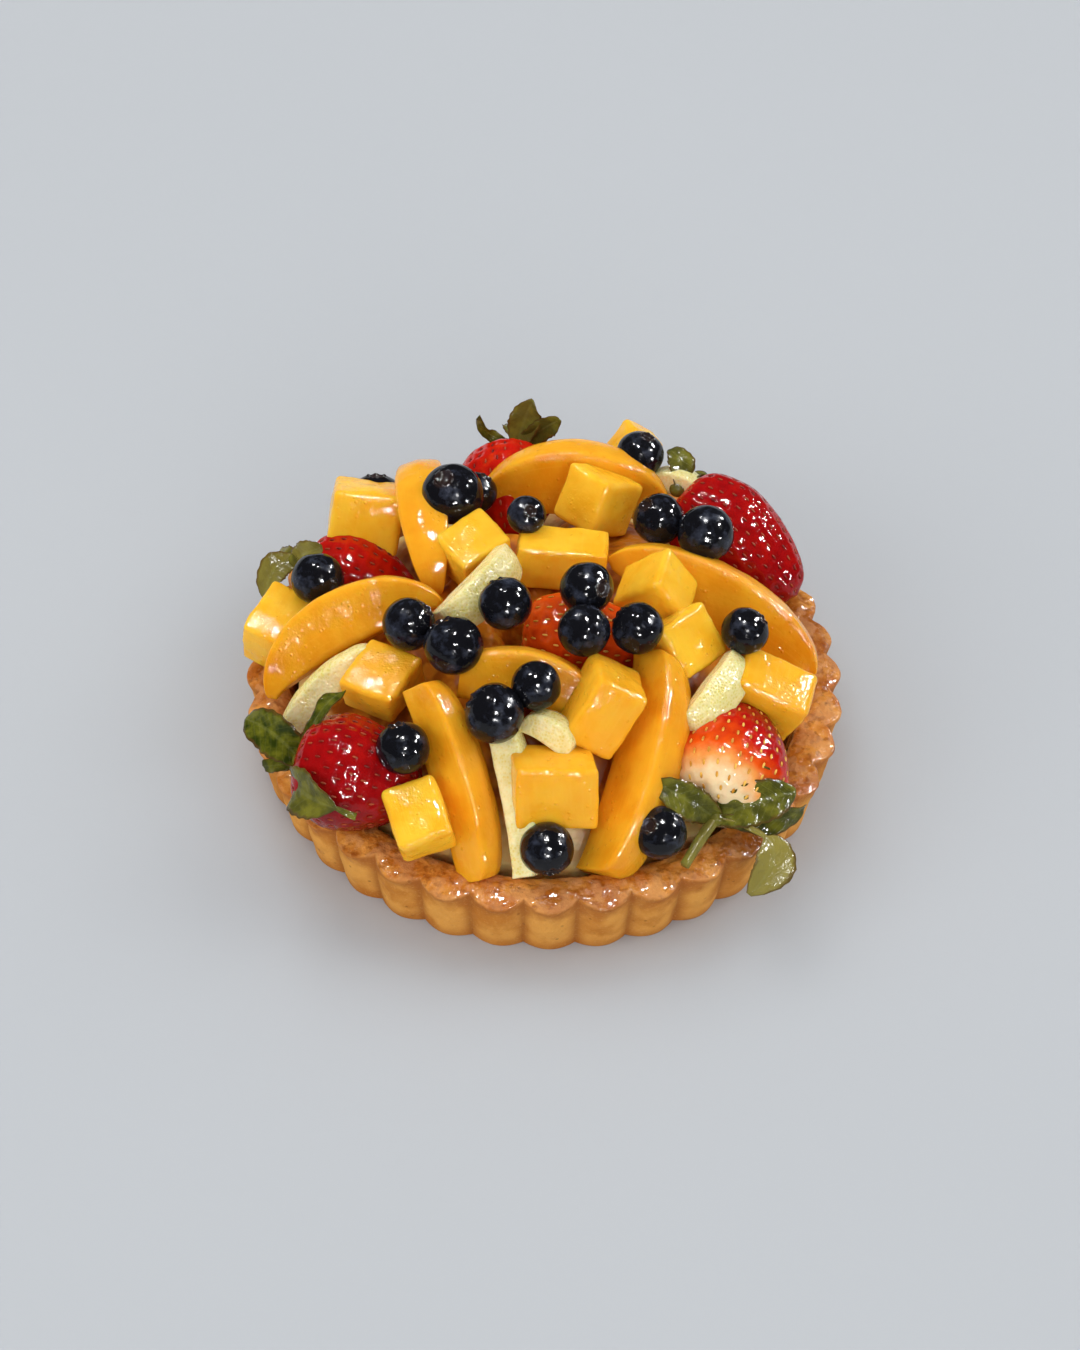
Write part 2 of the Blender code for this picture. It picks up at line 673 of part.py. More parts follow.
def main():
    clear_scene()
    tart = new_collection("fruit_tart")
    cutters = new_collection("cutters")
    tart_case(tart)
    guard = rim_guard(cutters)
    fruit = []
    for count, (calyx_end, tip, radius) in enumerate(STRAWBERRIES, 1):
        fruit.append(strawberry(f"strawberry_{count}", calyx_end, tip, radius, tart))
    for count, (one, two, outward, width, thick, bow) in enumerate(MELON_STRIPS, 1):
        fruit.append(crescent(f"melon_strip_{count}", one, two, outward, thick / 2 + bow, bow - thick / 2,
                              width, width * 0.8, 0.6, tart, "melon_flesh", 7))
    for count, (one, two, outward, skin, core, width, blunt) in enumerate(PEACH_SLICES, 1):
        fruit.append(crescent(f"peach_slice_{count}", one, two, outward, skin, core, width, width * 0.35,
                              blunt, tart, "peach_flesh"))
    for count, (x, y, z, length, depth, height, *turns) in enumerate(MANGO_CUBES, 1):
        fruit.append(mango_cube(f"mango_cube_{count:02d}", (x, y, z), (length, depth, height), turns, tart))
    for count, (x, y, z, radius, crown) in enumerate(BLUEBERRIES, 1):
        fruit.append(blueberry(f"blueberry_{count:02d}", (x, y, z), radius, crown, tart))
    rooms = [(obj, with_clearance(obj, cutters)) for obj in fruit]
    for count, spec in enumerate(CALYXES, 1):
        fruit.append(calyx(f"calyx_{count}", spec, tart))
        rooms += [(fruit[-1], piece) for piece in calyx_pieces(f"room_for_calyx_{count}", spec, GAP, cutters)]
    for cutter in cutters.objects:
        cutter.hide_render = True
        cutter.display_type = "WIRE"
    lay(fruit, rooms, guard)
    pastry_cream(fruit, tart)
    for obj in tart.objects:
        shade(obj, 40)


main()
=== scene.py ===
"""Fruit tart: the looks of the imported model, dressed in its own frame, with the photograph's view."""

import math

import bpy
import numpy as np
from mathutils import Matrix, Vector, noise


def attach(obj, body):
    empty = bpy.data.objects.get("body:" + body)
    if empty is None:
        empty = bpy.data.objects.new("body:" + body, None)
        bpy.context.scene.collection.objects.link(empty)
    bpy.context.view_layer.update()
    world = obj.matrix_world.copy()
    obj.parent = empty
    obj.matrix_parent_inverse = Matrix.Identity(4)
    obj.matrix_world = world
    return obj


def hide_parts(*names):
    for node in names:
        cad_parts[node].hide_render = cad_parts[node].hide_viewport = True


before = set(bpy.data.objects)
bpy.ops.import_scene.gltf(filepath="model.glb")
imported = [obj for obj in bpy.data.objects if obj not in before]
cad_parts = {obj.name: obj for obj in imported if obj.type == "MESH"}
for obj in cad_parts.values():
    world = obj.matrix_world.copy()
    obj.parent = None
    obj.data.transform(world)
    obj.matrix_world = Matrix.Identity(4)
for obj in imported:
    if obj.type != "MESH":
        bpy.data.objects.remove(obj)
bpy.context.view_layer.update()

# Camera: the photograph looks down at the front of the tart from well above it, tipped a
# degree and a half to one side, through a lens 2800 pixels long over a picture 1350 high.
MM = 0.001
VIEW_HEIGHT, VIEW_TILT, VIEW_DISTANCE = math.radians(47.6), math.radians(1.5), 866 * MM
SENSOR_HEIGHT, LENS_PIXELS, PICTURE_PIXELS = 36, 2800, 1350
camera = bpy.data.objects.new("camera", bpy.data.cameras.new("camera"))
bpy.context.scene.collection.objects.link(camera)
bpy.context.scene.camera = camera
camera.data.sensor_fit = "VERTICAL"
camera.data.sensor_height = SENSOR_HEIGHT
camera.data.lens = SENSOR_HEIGHT * LENS_PIXELS / PICTURE_PIXELS
camera.data.clip_start = 0.02
aim = Vector((-1.2, 0, 21.5)) * MM
back = Vector((0, -math.cos(VIEW_HEIGHT), math.sin(VIEW_HEIGHT)))
camera.matrix_world = (Matrix.Translation(aim + back * VIEW_DISTANCE)
                       @ Matrix.Rotation(math.pi / 2 - VIEW_HEIGHT, 4, "X")
                       @ Matrix.Rotation(VIEW_TILT, 4, "Z"))


# Baked case: shortcrust pressed into a fluted tin, golden on the wall, browner and
# glazed on the rim, where the dough has risen in tongues and blisters.
RIM_RADIUS, BASE_RADIUS, CASE_HEIGHT = 90 * MM, 86.5 * MM, 24 * MM
FLUTES, FLUTE_DEPTH, FLUTE_TURN = 36, 2.6 * MM, math.radians(-2.7)
FRONT_SPREAD, WALL, FLOOR = 2.2 * MM, 11 * MM, 4.5 * MM
STEPS_A_FLUTE, ROWS_A_POINT = 20, 6
FIRST_TOP_ROW, TOP_ROWS = 28, 8


class Value:
    """A node's output. Sums and products of numbers add Math nodes."""

    def __init__(self, finish, socket):
        self.finish, self.socket = finish, socket

    def maths(self, operation, *others):
        inputs = dict(enumerate((self, *others)))
        return self.finish.make("Math", {"operation": operation}, inputs)

    def __add__(self, other):
        return self.maths("ADD", other)

    def __sub__(self, other):
        return self.maths("SUBTRACT", other)

    def __rsub__(self, other):
        return self.maths("MULTIPLY", -1.0).maths("ADD", other)

    def __mul__(self, other):
        return self.maths("MULTIPLY", other)

    __radd__, __rmul__ = __add__, __mul__


class Finish:
    """A procedural material. make() adds every node, and paint() joins what changes over the surface."""

    def __init__(self, name, **constants):
        self.material = bpy.data.materials.new(name)
        self.material.use_nodes = True
        self.tree = self.material.node_tree
        self.shader = self.tree.nodes["Principled BSDF"]
        for socket, value in constants.items():
            self.shader.inputs[socket.replace("_", " ")].default_value = value
        self.place = self.make("TexCoord", output="Object")

    def make(self, kind, settings=None, inputs=None, output=0):
        node = self.tree.nodes.new("ShaderNode" + kind)
        for name, value in (settings or {}).items():
            if name == "stops":
                ramp = node.color_ramp.elements
                while len(ramp) < len(value):
                    ramp.new(0.5)
                for element, (position, colour) in zip(ramp, value):
                    element.position, element.color = position, colour
            else:
                setattr(node, name, value)
        for key, value in (inputs or {}).items():
            socket = node.inputs[key] if isinstance(key, int) else next(
                one for one in node.inputs if key in (one.identifier, one.name) and one.enabled)
            if isinstance(value, Value):
                self.tree.links.new(value.socket, socket)
            else:
                socket.default_value = value
        return Value(self, node.outputs[output])

    def noise(self, size, detail=3.0, rough=0.5):
        """Soft cloudy variation about a size in metres."""
        return self.make("TexNoise", {}, {"Vector": self.place, "Scale": 1 / size, "Detail": detail,
                                         "Roughness": rough})

    def cells(self, size):
        """How far the nearest of many scattered points is, which lie about a size apart."""
        return self.make("TexVoronoi", {}, {"Vector": self.place, "Scale": 1 / size})

    def step(self, value, low, high):
        """0 below low, 1 above high, smooth between."""
        return self.make("MapRange", {"interpolation_type": "SMOOTHSTEP"},
                         {"Value": value, "From Min": low, "From Max": high})

    def mix(self, factor, one, two):
        return self.make("Mix", {"data_type": "RGBA"},
                         {"Factor_Float": factor, "A_Color": one, "B_Color": two}, "Result")

    def attribute(self, name):
        """A number kept at each point of the mesh."""
        return self.make("Attribute", {"attribute_name": name}, {}, "Fac")

    def bump(self, height, depth, under=None):
        """Relief as deep as depth where height is 1, over any relief under it."""
        inputs = {"Height": height, "Distance": depth}
        if under:
            inputs["Normal"] = under
        return self.make("Bump", {}, inputs)

    def paint(self, **links):
        for socket, value in links.items():
            self.tree.links.new(value.socket, self.shader.inputs[socket.replace("_", " ")])
        return self.material


def tint(red, green, blue):
    """A colour as the eye sees it, 0 to 255, turned into light."""
    light = [((c / 255 + 0.055) / 1.055) ** 2.4 if c > 10 else c / 255 / 12.92 for c in (red, green, blue)]
    return (*light, 1.0)


def cloud(points, size, seed):
    """Noise at each point, about a size in metres."""
    shift = Vector((seed * 7.31, seed * 3.17, seed * 5.73))
    return np.array([noise.fractal(Vector(point) / size + shift, 0.8, 2.0, 2) for point in points])


def through(points, steps):
    """A smooth line through points, with so many steps between each two."""
    points = np.array(points, float)
    ends = np.vstack([2 * points[0] - points[1], points, 2 * points[-1] - points[-2]])
    line = []
    for i in range(1, len(ends) - 2):
        a, b, c, d = ends[i - 1:i + 3]
        for t in np.arange(steps) / steps:
            line.append(0.5 * (2 * b + (c - a) * t + (2 * a - 5 * b + 4 * c - d) * t ** 2
                               + (3 * b - a - 3 * c + d) * t ** 3))
    return np.array(line + [points[-1]])


def lofted(name, rings, values):
    """A closed skin over rings of points. values are attributes, a number at each ring's point."""
    count, around = rings.shape[:2]
    points = rings.reshape(-1, 3)
    faces = []
    for row in range(count - 1):
        for i in range(around):
            j = (i + 1) % around
            low, high = row * around, (row + 1) * around
            faces.append((low + i, low + j, high + j, high + i))
    points = np.vstack([points, rings[0].mean(0), rings[-1].mean(0)])
    low, high = len(points) - 2, len(points) - 1
    last = (count - 1) * around
    for i in range(around):
        j = (i + 1) % around
        faces.append((low, j, i))
        faces.append((high, last + i, last + j))
    fan = [(face[0], face[i], face[i + 1]) for face in faces for i in range(1, len(face) - 1)]
    corners = points[np.array(fan)]
    if np.einsum("ij,ij->i", corners[:, 0], np.cross(corners[:, 1], corners[:, 2])).sum() < 0:
        faces = [face[::-1] for face in faces]
    mesh = bpy.data.meshes.new(name)
    mesh.from_pydata(points.tolist(), [], faces)
    for key, grid in values.items():
        flat = np.asarray(grid, float).reshape(-1)
        flat = np.concatenate([flat, [flat[:around].mean(), flat[-around:].mean()]])
        mesh.attributes.new(key, "FLOAT", "POINT").data.foreach_set("value", flat)
    mesh.shade_smooth()
    piece = bpy.data.objects.new(name, mesh)
    bpy.context.scene.collection.objects.link(piece)
    return piece


def dress(piece, material, slot, *nodes):
    """Gives a piece its material, and sets it on the tart in place of its nodes."""
    if material:
        piece.data.materials.clear()
        piece.data.materials.append(material)
    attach(piece, "root")
    if nodes:
        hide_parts(*nodes)


def crest_height(angle):
    """The rim wavers up and down as baked dough does."""
    wander = noise.noise(Vector((3 * math.cos(angle), 3 * math.sin(angle), 0.7)))
    return CASE_HEIGHT + 1.3 * wander * MM


def wall_radius(height):
    """The wall leans outwards from the base to the rim."""
    return BASE_RADIUS + (RIM_RADIUS - BASE_RADIUS) * height / CASE_HEIGHT


case_rings = []
for step in range(FLUTES * STEPS_A_FLUTE):
    angle = FLUTE_TURN + 2 * math.pi * step / (FLUTES * STEPS_A_FLUTE)
    ridge = abs(math.sin(FLUTES * (angle - FLUTE_TURN) / 2)) ** 0.9
    out = FLUTE_DEPTH * (ridge - 0.5)
    number = round((angle - FLUTE_TURN) / (2 * math.pi) * FLUTES - 0.5)
    plump = 0.5 + noise.noise(Vector((number * 0.73, 4.1, 2.2)))
    top = crest_height(angle)
    lip = top - 0.4 * MM - 1.2 * ridge * MM
    spread = FRONT_SPREAD * max(0.0, math.cos(angle + math.radians(70))) ** 2
    inner = wall_radius(top) - WALL
    line = through([
        (wall_radius(0) - 9 * MM, 0.0),
        (wall_radius(0) - 1.6 * MM + 0.8 * out, 0.0),
        (wall_radius(0) - 0.1 * MM + out, 0.9 * MM),
        (wall_radius(0.45 * top) + out, 0.45 * lip),
        (wall_radius(0.84 * top) - 0.2 * MM + 1.1 * out, 0.84 * lip),
        (wall_radius(top) - 0.2 * MM + (1.5 + 0.25 * plump) * out, lip - 0.7 * MM),
        (wall_radius(top) - 1.6 * MM + 1.4 * out, lip + 0.35 * MM + 0.3 * plump * ridge * MM),
        (wall_radius(top) - 5.0 * MM + 0.5 * out, top + (1.0 * plump * ridge - 0.3) * MM),
        (wall_radius(top) - 8.0 * MM + 0.2 * out, top - 0.3 * MM),
        (inner, top - 1.6 * MM),
        (inner - 1.2 * MM, top - 6 * MM),
        (wall_radius(0) - WALL - 1.5 * MM, FLOOR),
    ], ROWS_A_POINT)
    line[:, 0] += spread
    case_rings.append(np.stack([line[:, 0] * math.cos(angle), line[:, 0] * math.sin(angle),
                                np.maximum(line[:, 1], 0)], 1))
case_rings = np.array(case_rings).transpose(1, 0, 2)
flat_points = case_rings.reshape(-1, 3)
outward = flat_points * (1, 1, 0)
outward /= np.linalg.norm(outward, axis=1)[:, None]
height = flat_points[:, 2]
lumps = cloud(flat_points, 7 * MM, 1) * 0.30 * MM + cloud(flat_points, 2.0 * MM, 2) * 0.10 * MM
rim = np.clip((height - 20 * MM) / (2.5 * MM), 0, 1)
blisters = np.clip(cloud(flat_points, 3.4 * MM, 3), 0, 1) * 1.1 * MM * rim
flat_points = flat_points + outward * (lumps * np.clip(height / (2 * MM), 0, 1))[:, None]
crumbs = cloud(flat_points, 1.9 * MM, 4) * 0.22 * MM * rim
flat_points[:, 2] += blisters * 0.7 + crumbs
top_share = np.clip((np.arange(len(case_rings)) - FIRST_TOP_ROW) / TOP_ROWS, 0, 1)[:, None]
top_share = top_share * np.ones(case_rings.shape[1])
groove = 1 - abs(np.sin(np.arange(case_rings.shape[1]) / STEPS_A_FLUTE * math.pi)) ** 0.6
baked_case = lofted("baked_case", flat_points.reshape(case_rings.shape),
                    {"top": top_share, "groove": groove * (1 - top_share)})

crust = Finish("baked_pastry", Specular_IOR_Level=0.08, Coat_IOR=1.3, Coat_Roughness=0.1)
crust_height = crust.make("SeparateXYZ", {}, {0: crust.place}, 2)
on_rim = crust.step(crust.attribute("top") + crust.noise(5 * MM) * 0.9, 0.45, 1.15)
patches = crust.step(crust.noise(11 * MM, 4), 0.42, 0.66)
grain = crust.noise(0.8 * MM, 4, 0.65)
golden = crust.mix(patches, tint(222, 156, 72), tint(194, 122, 46))
# Painted shade: the grooves between the flutes are painted darker brown, where shade falls in the creases.
golden = crust.mix(crust.step(crust.attribute("groove"), 0.20, 0.90) * 0.75, golden, tint(166, 98, 38))
foot = 1 - crust.step(crust_height + crust.noise(5 * MM) * 0.004, 0.0025, 0.0085)
golden = crust.mix(foot * 0.6, golden, tint(178, 102, 34))
# Darker brown towards the top of the wall, just under the rim.
near_rim_darkening = crust.step(crust_height + crust.noise(4 * MM) * 0.009, 0.0195, 0.0270)
golden = crust.mix(near_rim_darkening * 0.75, golden, tint(168, 96, 40))
honey = crust.mix(crust.step(crust.noise(8 * MM, 3), 0.36, 0.64), tint(224, 150, 66), tint(184, 102, 30))
honey = crust.mix(crust.step(crust.noise(2.5 * MM, 3), 0.50, 0.68) * 0.6, honey, tint(130, 62, 18))
# Large dark patches on the rim: partly dark glaze, partly painted shade where the fruit overhangs the rim.
honey = crust.mix(crust.step(crust.noise(24 * MM, 2), 0.5, 0.66) * 0.45, honey, tint(128, 62, 14))
glazed = crust.step(crust.noise(6 * MM, 2), 0.42, 0.52)
honey = crust.mix((1 - glazed) * 0.45, honey, tint(204, 142, 88))
baked = crust.mix(on_rim, golden, honey)
specks = crust.step(crust.cells(5 * MM), 0.14, 0.04)
baked = crust.mix(specks * 0.5, baked, tint(120, 62, 20))
baked = crust.mix(crust.step(grain, 0.52, 0.75) * 0.22, baked, tint(240, 194, 122))
wet = on_rim * glazed
case_bump = crust.bump(grain * (1 - wet * 0.7), 0.2 * MM)
case_bump = crust.bump(crust.noise(1.8 * MM, 3) * (0.7 + on_rim), 0.4 * MM, case_bump)
crust.paint(Base_Color=baked, Roughness=0.75 - wet * 0.55, Coat_Weight=wet * 0.8, Normal=case_bump)
dress(baked_case, crust.material, "pastry", "tart_case")


# Pastry cream: poured to just under the rim and mounded beneath the fruit, which presses
# into it. It shows along the rim; higher up, between the pieces, it is painted dark orange, partly for their
# juice and glaze and partly as painted shade in the gaps.
def merged_copy(node, name):
    """A welded copy of a node's own mesh."""
    copy = bpy.data.objects.new(name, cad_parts[node].data.copy())
    bpy.context.scene.collection.objects.link(copy)
    weld = copy.modifiers.new("weld", "WELD")
    weld.merge_threshold = 0.00002
    smooth = copy.modifiers.new("smooth", "SUBSURF")
    smooth.levels = smooth.render_levels = 2
    mesh = bpy.data.meshes.new_from_object(copy.evaluated_get(bpy.context.evaluated_depsgraph_get()))
    copy.modifiers.clear()
    copy.data = mesh
    mesh.shade_smooth()
    return copy


cream = Finish("pastry_cream", IOR=1.3, Specular_IOR_Level=0.2, Subsurface_Weight=0.2,
               Subsurface_Scale=0.002)
cream_height = cream.make("SeparateXYZ", {}, {0: cream.place}, 2) + cream.noise(6 * MM, 2) * 0.008
cream_colour = cream.mix(cream.step(cream.noise(8 * MM), 0.4, 0.65), tint(255, 226, 152),
                         tint(252, 208, 128))
# Juice and painted shade: the cream above rim level, between the pieces, turns a darker orange.
juice_and_shade = cream.mix(cream.step(cream.noise(7 * MM, 2), 0.4, 0.6), tint(216, 134, 28), tint(166, 88, 12))
cream_colour = cream.mix(cream.step(cream_height, 0.028, 0.034), cream_colour, juice_and_shade)
cream.paint(Base_Color=cream_colour, Roughness=0.32 + cream.step(cream.noise(5 * MM, 2), 0.45, 0.6) * 0.2,
            Normal=cream.bump(cream.noise(2.5 * MM, 3), 0.4 * MM))
dress(merged_copy("pastry_cream", "cream_filling"), cream.material, "cream", "pastry_cream")


# Strawberries: whole berries laid on their sides, with a seed in each dimple of the skin.
# The front right one is pale at its shoulder, the middle one is orange-red, and the rest
# are ripe.
HEAP_SHIFT = np.array((1.4, 0.0, 0.0))
STRAWBERRIES = (
    ((-73.0, -52.0, 38.0), (-36.0, -59.0, 35.0), 18.0, 0.96),
    ((51.0, -62.0, 31.5), (58.0, -26.0, 38.0), 18.0, 0.30),
    ((41.0, 55.0, 47.5), (77.5, 29.5, 29.5), 16.2, 0.93),
    ((-15.0, 79.0, 41.0), (-14.0, 46.0, 33.0), 16.5, 0.72),
    ((-77.0, 32.0, 33.0), (-42.0, 24.0, 27.0), 15.5, 0.80),
    ((-8.0, -6.0, 48.0), (32.0, -10.0, 46.0), 14.0, 0.52),
)
BERRY_OUTLINE = ((0.02, 0.965), (0.34, 1.0), (0.74, 0.93), (0.97, 0.74), (1.0, 0.60), (0.90, 0.40),
                 (0.68, 0.20), (0.38, 0.05), (0.02, 0.0))
SKIN_ROWS, SKIN_STEPS = 64, 96
SEED_ROWS_APART, SEEDS_APART = 3.8 * MM, 4.6 * MM
SEED_LENGTH, SEED_THICKNESS, SEED_DEPTH = 2.0 * MM, 0.55 * MM, 0.35 * MM
DIMPLE_SIZE, DIMPLE_DEPTH = 1.15 * MM, 0.65 * MM


def placed(point):
    """A place in the heap of fruit, which lies a little to one side of the case's middle."""
    return (np.array(point, float) + HEAP_SHIFT) * MM


def turned_axes(direction):
    """Three directions at right angles, the last along a given one."""
    z = np.array(direction, float)
    z /= np.linalg.norm(z)
    x = np.cross((0.31, 0.17, 0.93) if abs(z[2]) < 0.8 else (0.9, 0.2, 0.1), z)
    x /= np.linalg.norm(x)
    return np.stack([x, np.cross(z, x), z])


flesh = Finish("strawberry_flesh", Roughness=0.08, IOR=1.33, Subsurface_Weight=0.15, Subsurface_Scale=0.002)
ripe = flesh.attribute("ripe") + (flesh.noise(5 * MM, 3) - 0.5) * 0.30
berry_red = flesh.make("ValToRGB", {"stops": [
    (0.0, tint(244, 214, 166)), (0.2, tint(238, 158, 80)), (0.4, tint(230, 84, 16)),
    (0.62, tint(196, 26, 10)), (0.85, tint(158, 10, 12)), (1.0, tint(118, 6, 10))]}, {0: ripe}, "Color")
# Painted shade: the skin is painted darker in the dimples around the seeds.
dimple_shade = flesh.attribute("dimple") * flesh.step(ripe, 0.1, 0.6)
berry_red = flesh.mix(dimple_shade * 0.35, berry_red, tint(110, 8, 8))
flesh.paint(Base_Color=berry_red, Normal=flesh.bump(flesh.noise(1.8 * MM, 2), 0.20 * MM))

seed_skins = {}
for name, dark, light in (("ripe_seed", tint(122, 26, 16), tint(168, 70, 34)),
                          ("pale_seed", tint(206, 138, 38), tint(238, 184, 78))):
    seed_skin = Finish(name, Roughness=0.5, Specular_IOR_Level=0.1)
    some = seed_skin.step(seed_skin.noise(3 * MM, 1), 0.4, 0.6)
    seed_skin.paint(Base_Color=seed_skin.mix(some, dark, light))
    seed_skins[name] = seed_skin.material


def seed_tree():
    """Puts a seed at each point, flat to the skin and pointing along the berry."""
    tree = bpy.data.node_groups.new("seeds", "GeometryNodeTree")
    tree.is_modifier = True
    ends = tree.interface
    ends.new_socket("Geometry", in_out="INPUT", socket_type="NodeSocketGeometry")
    sizes = [ends.new_socket(name, in_out="INPUT", socket_type="NodeSocketFloat")
             for name in ("Length", "Width", "Thickness")]
    stuff = ends.new_socket("Material", in_out="INPUT", socket_type="NodeSocketMaterial")
    ends.new_socket("Geometry", in_out="OUTPUT", socket_type="NodeSocketGeometry")

    def add(kind, inputs=None, **settings):
        node = tree.nodes.new(kind)
        for name, value in settings.items():
            setattr(node, name, value)
        for key, value in (inputs or {}).items():
            if isinstance(value, bpy.types.NodeSocket):
                tree.links.new(value, node.inputs[key])
            else:
                node.inputs[key].default_value = value
        return node

    given = add("NodeGroupInput").outputs
    ball = add("GeometryNodeMeshUVSphere", {"Segments": 7, "Rings": 5, "Radius": 0.5})
    size = add("ShaderNodeCombineXYZ", {0: given["Width"], 1: given["Length"], 2: given["Thickness"]})
    seed = add("GeometryNodeTransform", {"Geometry": ball.outputs[0], "Scale": size.outputs[0]})
    skin = add("GeometryNodeInputNamedAttribute", {"Name": "outwards"}, data_type="FLOAT_VECTOR")
    lie = add("GeometryNodeInputNamedAttribute", {"Name": "lengthwise"}, data_type="FLOAT_VECTOR")
    flat = add("FunctionNodeAlignRotationToVector", {"Vector": skin.outputs[0]}, axis="Z")
    turn = add("FunctionNodeAlignRotationToVector", {"Rotation": flat.outputs[0], "Vector": lie.outputs[0]},
               axis="Y", pivot_axis="Z")
    spots = add("GeometryNodeInstanceOnPoints", {"Points": given["Geometry"], "Instance": seed.outputs[0],
                                                 "Rotation": turn.outputs[0]})
    real = add("GeometryNodeRealizeInstances", {"Geometry": spots.outputs[0]})
    smooth = add("GeometryNodeSetShadeSmooth", {"Geometry": real.outputs[0]})
    dressed = add("GeometryNodeSetMaterial", {"Geometry": smooth.outputs[0], "Material": given["Material"]})
    add("NodeGroupOutput", {0: dressed.outputs[0]})
    return tree, [one.identifier for one in sizes] + [stuff.identifier]


def with_nodes(piece, tree, inputs):
    """Runs a node tree on a piece and keeps the plain mesh that it makes."""
    modifier = piece.modifiers.new("nodes", "NODES")
    modifier.node_group = tree
    for key, value in inputs.items():
        modifier[key] = value
    bpy.context.view_layer.update()
    mesh = bpy.data.meshes.new_from_object(piece.evaluated_get(bpy.context.evaluated_depsgraph_get()))
    piece.modifiers.clear()
    piece.data = mesh
    return piece


seeds, seed_inputs = seed_tree()
for number, (calyx_end, tip, radius, ripeness) in enumerate(STRAWBERRIES, 1):
    calyx_end, tip = placed(calyx_end), placed(tip)
    length = np.linalg.norm(calyx_end - tip)
    axes = turned_axes(calyx_end - tip)
    line = through([(r * radius * MM, h * length) for r, h in BERRY_OUTLINE], 8)
    reach = np.concatenate([[0], np.cumsum(np.linalg.norm(np.diff(line, axis=0), axis=1))])

    def skin_at(along, angle, number=number, line=line, reach=reach, axes=axes, tip=tip, radius=radius):
        """Places on the skin, at distances along the outline and angles about the axis."""
        r, h = np.interp(along, reach, line[:, 0]), np.interp(along, reach, line[:, 1])
        wobble = 1 + 0.035 * np.sin(2 * angle + number) + 0.02 * np.sin(5 * angle + 2 * number)
        r = r * wobble * 0.985
        local = np.stack([r * np.cos(angle), r * np.sin(angle), h], -1)
        return tip + local @ axes

    rows = np.linspace(0, reach[-1], SKIN_ROWS)
    angles = np.linspace(0, 2 * math.pi, SKIN_STEPS, endpoint=False)
    grid = skin_at(rows[:, None] * np.ones(SKIN_STEPS), angles[None, :] * np.ones((SKIN_ROWS, 1)))
    seed_places, seed_out, seed_along = [], [], []
    for row, along in enumerate(np.arange(4.5 * MM, reach[-1] - 2.0 * MM, SEED_ROWS_APART)):
        round_here = 2 * math.pi * np.interp(along, reach, line[:, 0])
        count = int(round_here / SEEDS_APART)
        for i in range(count):
            shake = noise.noise(Vector((row * 3.1, i * 2.3, number)))
            angle = 2 * math.pi * (i + 0.5 * (row % 2) + 0.25 * shake) / count
            spot = along + 0.5 * MM * noise.noise(Vector((row, i * 5.1, number + 9)))
            here = skin_at(np.array(spot), np.array(angle))
            ahead = skin_at(np.array(spot + 0.4 * MM), np.array(angle)) - here
            aside = skin_at(np.array(spot), np.array(angle + 0.05)) - here
            out = np.cross(ahead, aside)
            out /= np.linalg.norm(out)
            if out @ (here - (tip + calyx_end) / 2) < 0:
                out = -out
            seed_places.append(here)
            seed_out.append(out)
            seed_along.append(ahead / np.linalg.norm(ahead))
    seed_places, seed_out = np.array(seed_places), np.array(seed_out)
    points = grid.reshape(-1, 3)
    apart = np.linalg.norm(points[:, None] - seed_places[None], axis=2)
    nearest = apart.argmin(1)
    dimple = np.exp(-(apart.min(1) / DIMPLE_SIZE) ** 2)
    points = points - seed_out[nearest] * (dimple * DIMPLE_DEPTH)[:, None]
    from_calyx = (rows / reach[-1])[:, None] * np.ones(SKIN_STEPS)
    side = np.clip((grid[..., 2] - tip[2] + 6 * MM) / (24 * MM), 0, 1)
    if ripeness < 0.5:
        to_right = np.clip((grid[..., 0] - 54 * MM) / (18 * MM), 0, 1)
        ripe_here = (np.clip(2.3 * (from_calyx - 0.29), 0, 0.50) + 0.30 * to_right
                     + 0.25 * np.clip((from_calyx - 0.55) / 0.2, 0, 1))
    else:
        ripe_here = ripeness - 0.22 * np.clip(0.22 - from_calyx, 0, 1) / 0.22 - 0.10 * side
    berry = lofted(f"strawberry_{number}_berry", points.reshape(grid.shape),
                   {"ripe": ripe_here, "dimple": dimple})
    dress(berry, flesh.material, "strawberry", f"strawberry_{number}")
    mesh = bpy.data.meshes.new("seed_places")
    mesh.from_pydata((seed_places - seed_out * SEED_DEPTH).tolist(), [], [])
    for key, vectors in (("outwards", seed_out), ("lengthwise", np.array(seed_along))):
        mesh.attributes.new(key, "FLOAT_VECTOR", "POINT").data.foreach_set("vector", vectors.reshape(-1))
    pips = bpy.data.objects.new(f"strawberry_{number}_seeds", mesh)
    bpy.context.scene.collection.objects.link(pips)
    seed_skin = seed_skins["pale_seed" if ripeness < 0.7 else "ripe_seed"]
    seed_width = 0.85 * MM if ripeness < 0.5 else 0.66 * MM
    with_nodes(pips, seeds, dict(zip(seed_inputs, (SEED_LENGTH, seed_width, SEED_THICKNESS, seed_skin))))
    dress(pips, None, "strawberry")


# Melon strips: thin slices of pale green melon, grainy where the knife went through and
# greener towards the rind, bent between the other pieces.
MELON_STRIPS = (
    ((-53.0, -18.0, 52.0), (-78.5, -34.0, 32.0), (-0.35, 0.55, 0.75), 10.0, 9.0, 1.0),
    ((-12.0, 14.0, 60.0), (-31.0, -14.0, 58.0), (0.7, -0.4, 0.6), 13.0, 9.0, 3.0),
    ((-15.0, -41.0, 56.5), (-3.0, -82.5, 25.5), (0.8, 0.3, 0.5), 11.0, 10.0, 1.0),
    ((-6.0, -46.0, 54.0), (8.0, -54.0, 50.0), (0.3, 0.5, 0.8), 11.0, 8.5, 1.2),
    ((57.0, -17.5, 50.5), (41.5, -43.0, 47.0), (0.6, -0.3, 0.7), 12.0, 8.0, 2.5),
    ((30.0, 64.0, 44.0), (48.0, 58.0, 44.0), (0.3, 0.4, 0.85), 12.0, 8.0, 3.0),
)
WEDGE_RINGS, STEPS_A_SIDE = 56, 6


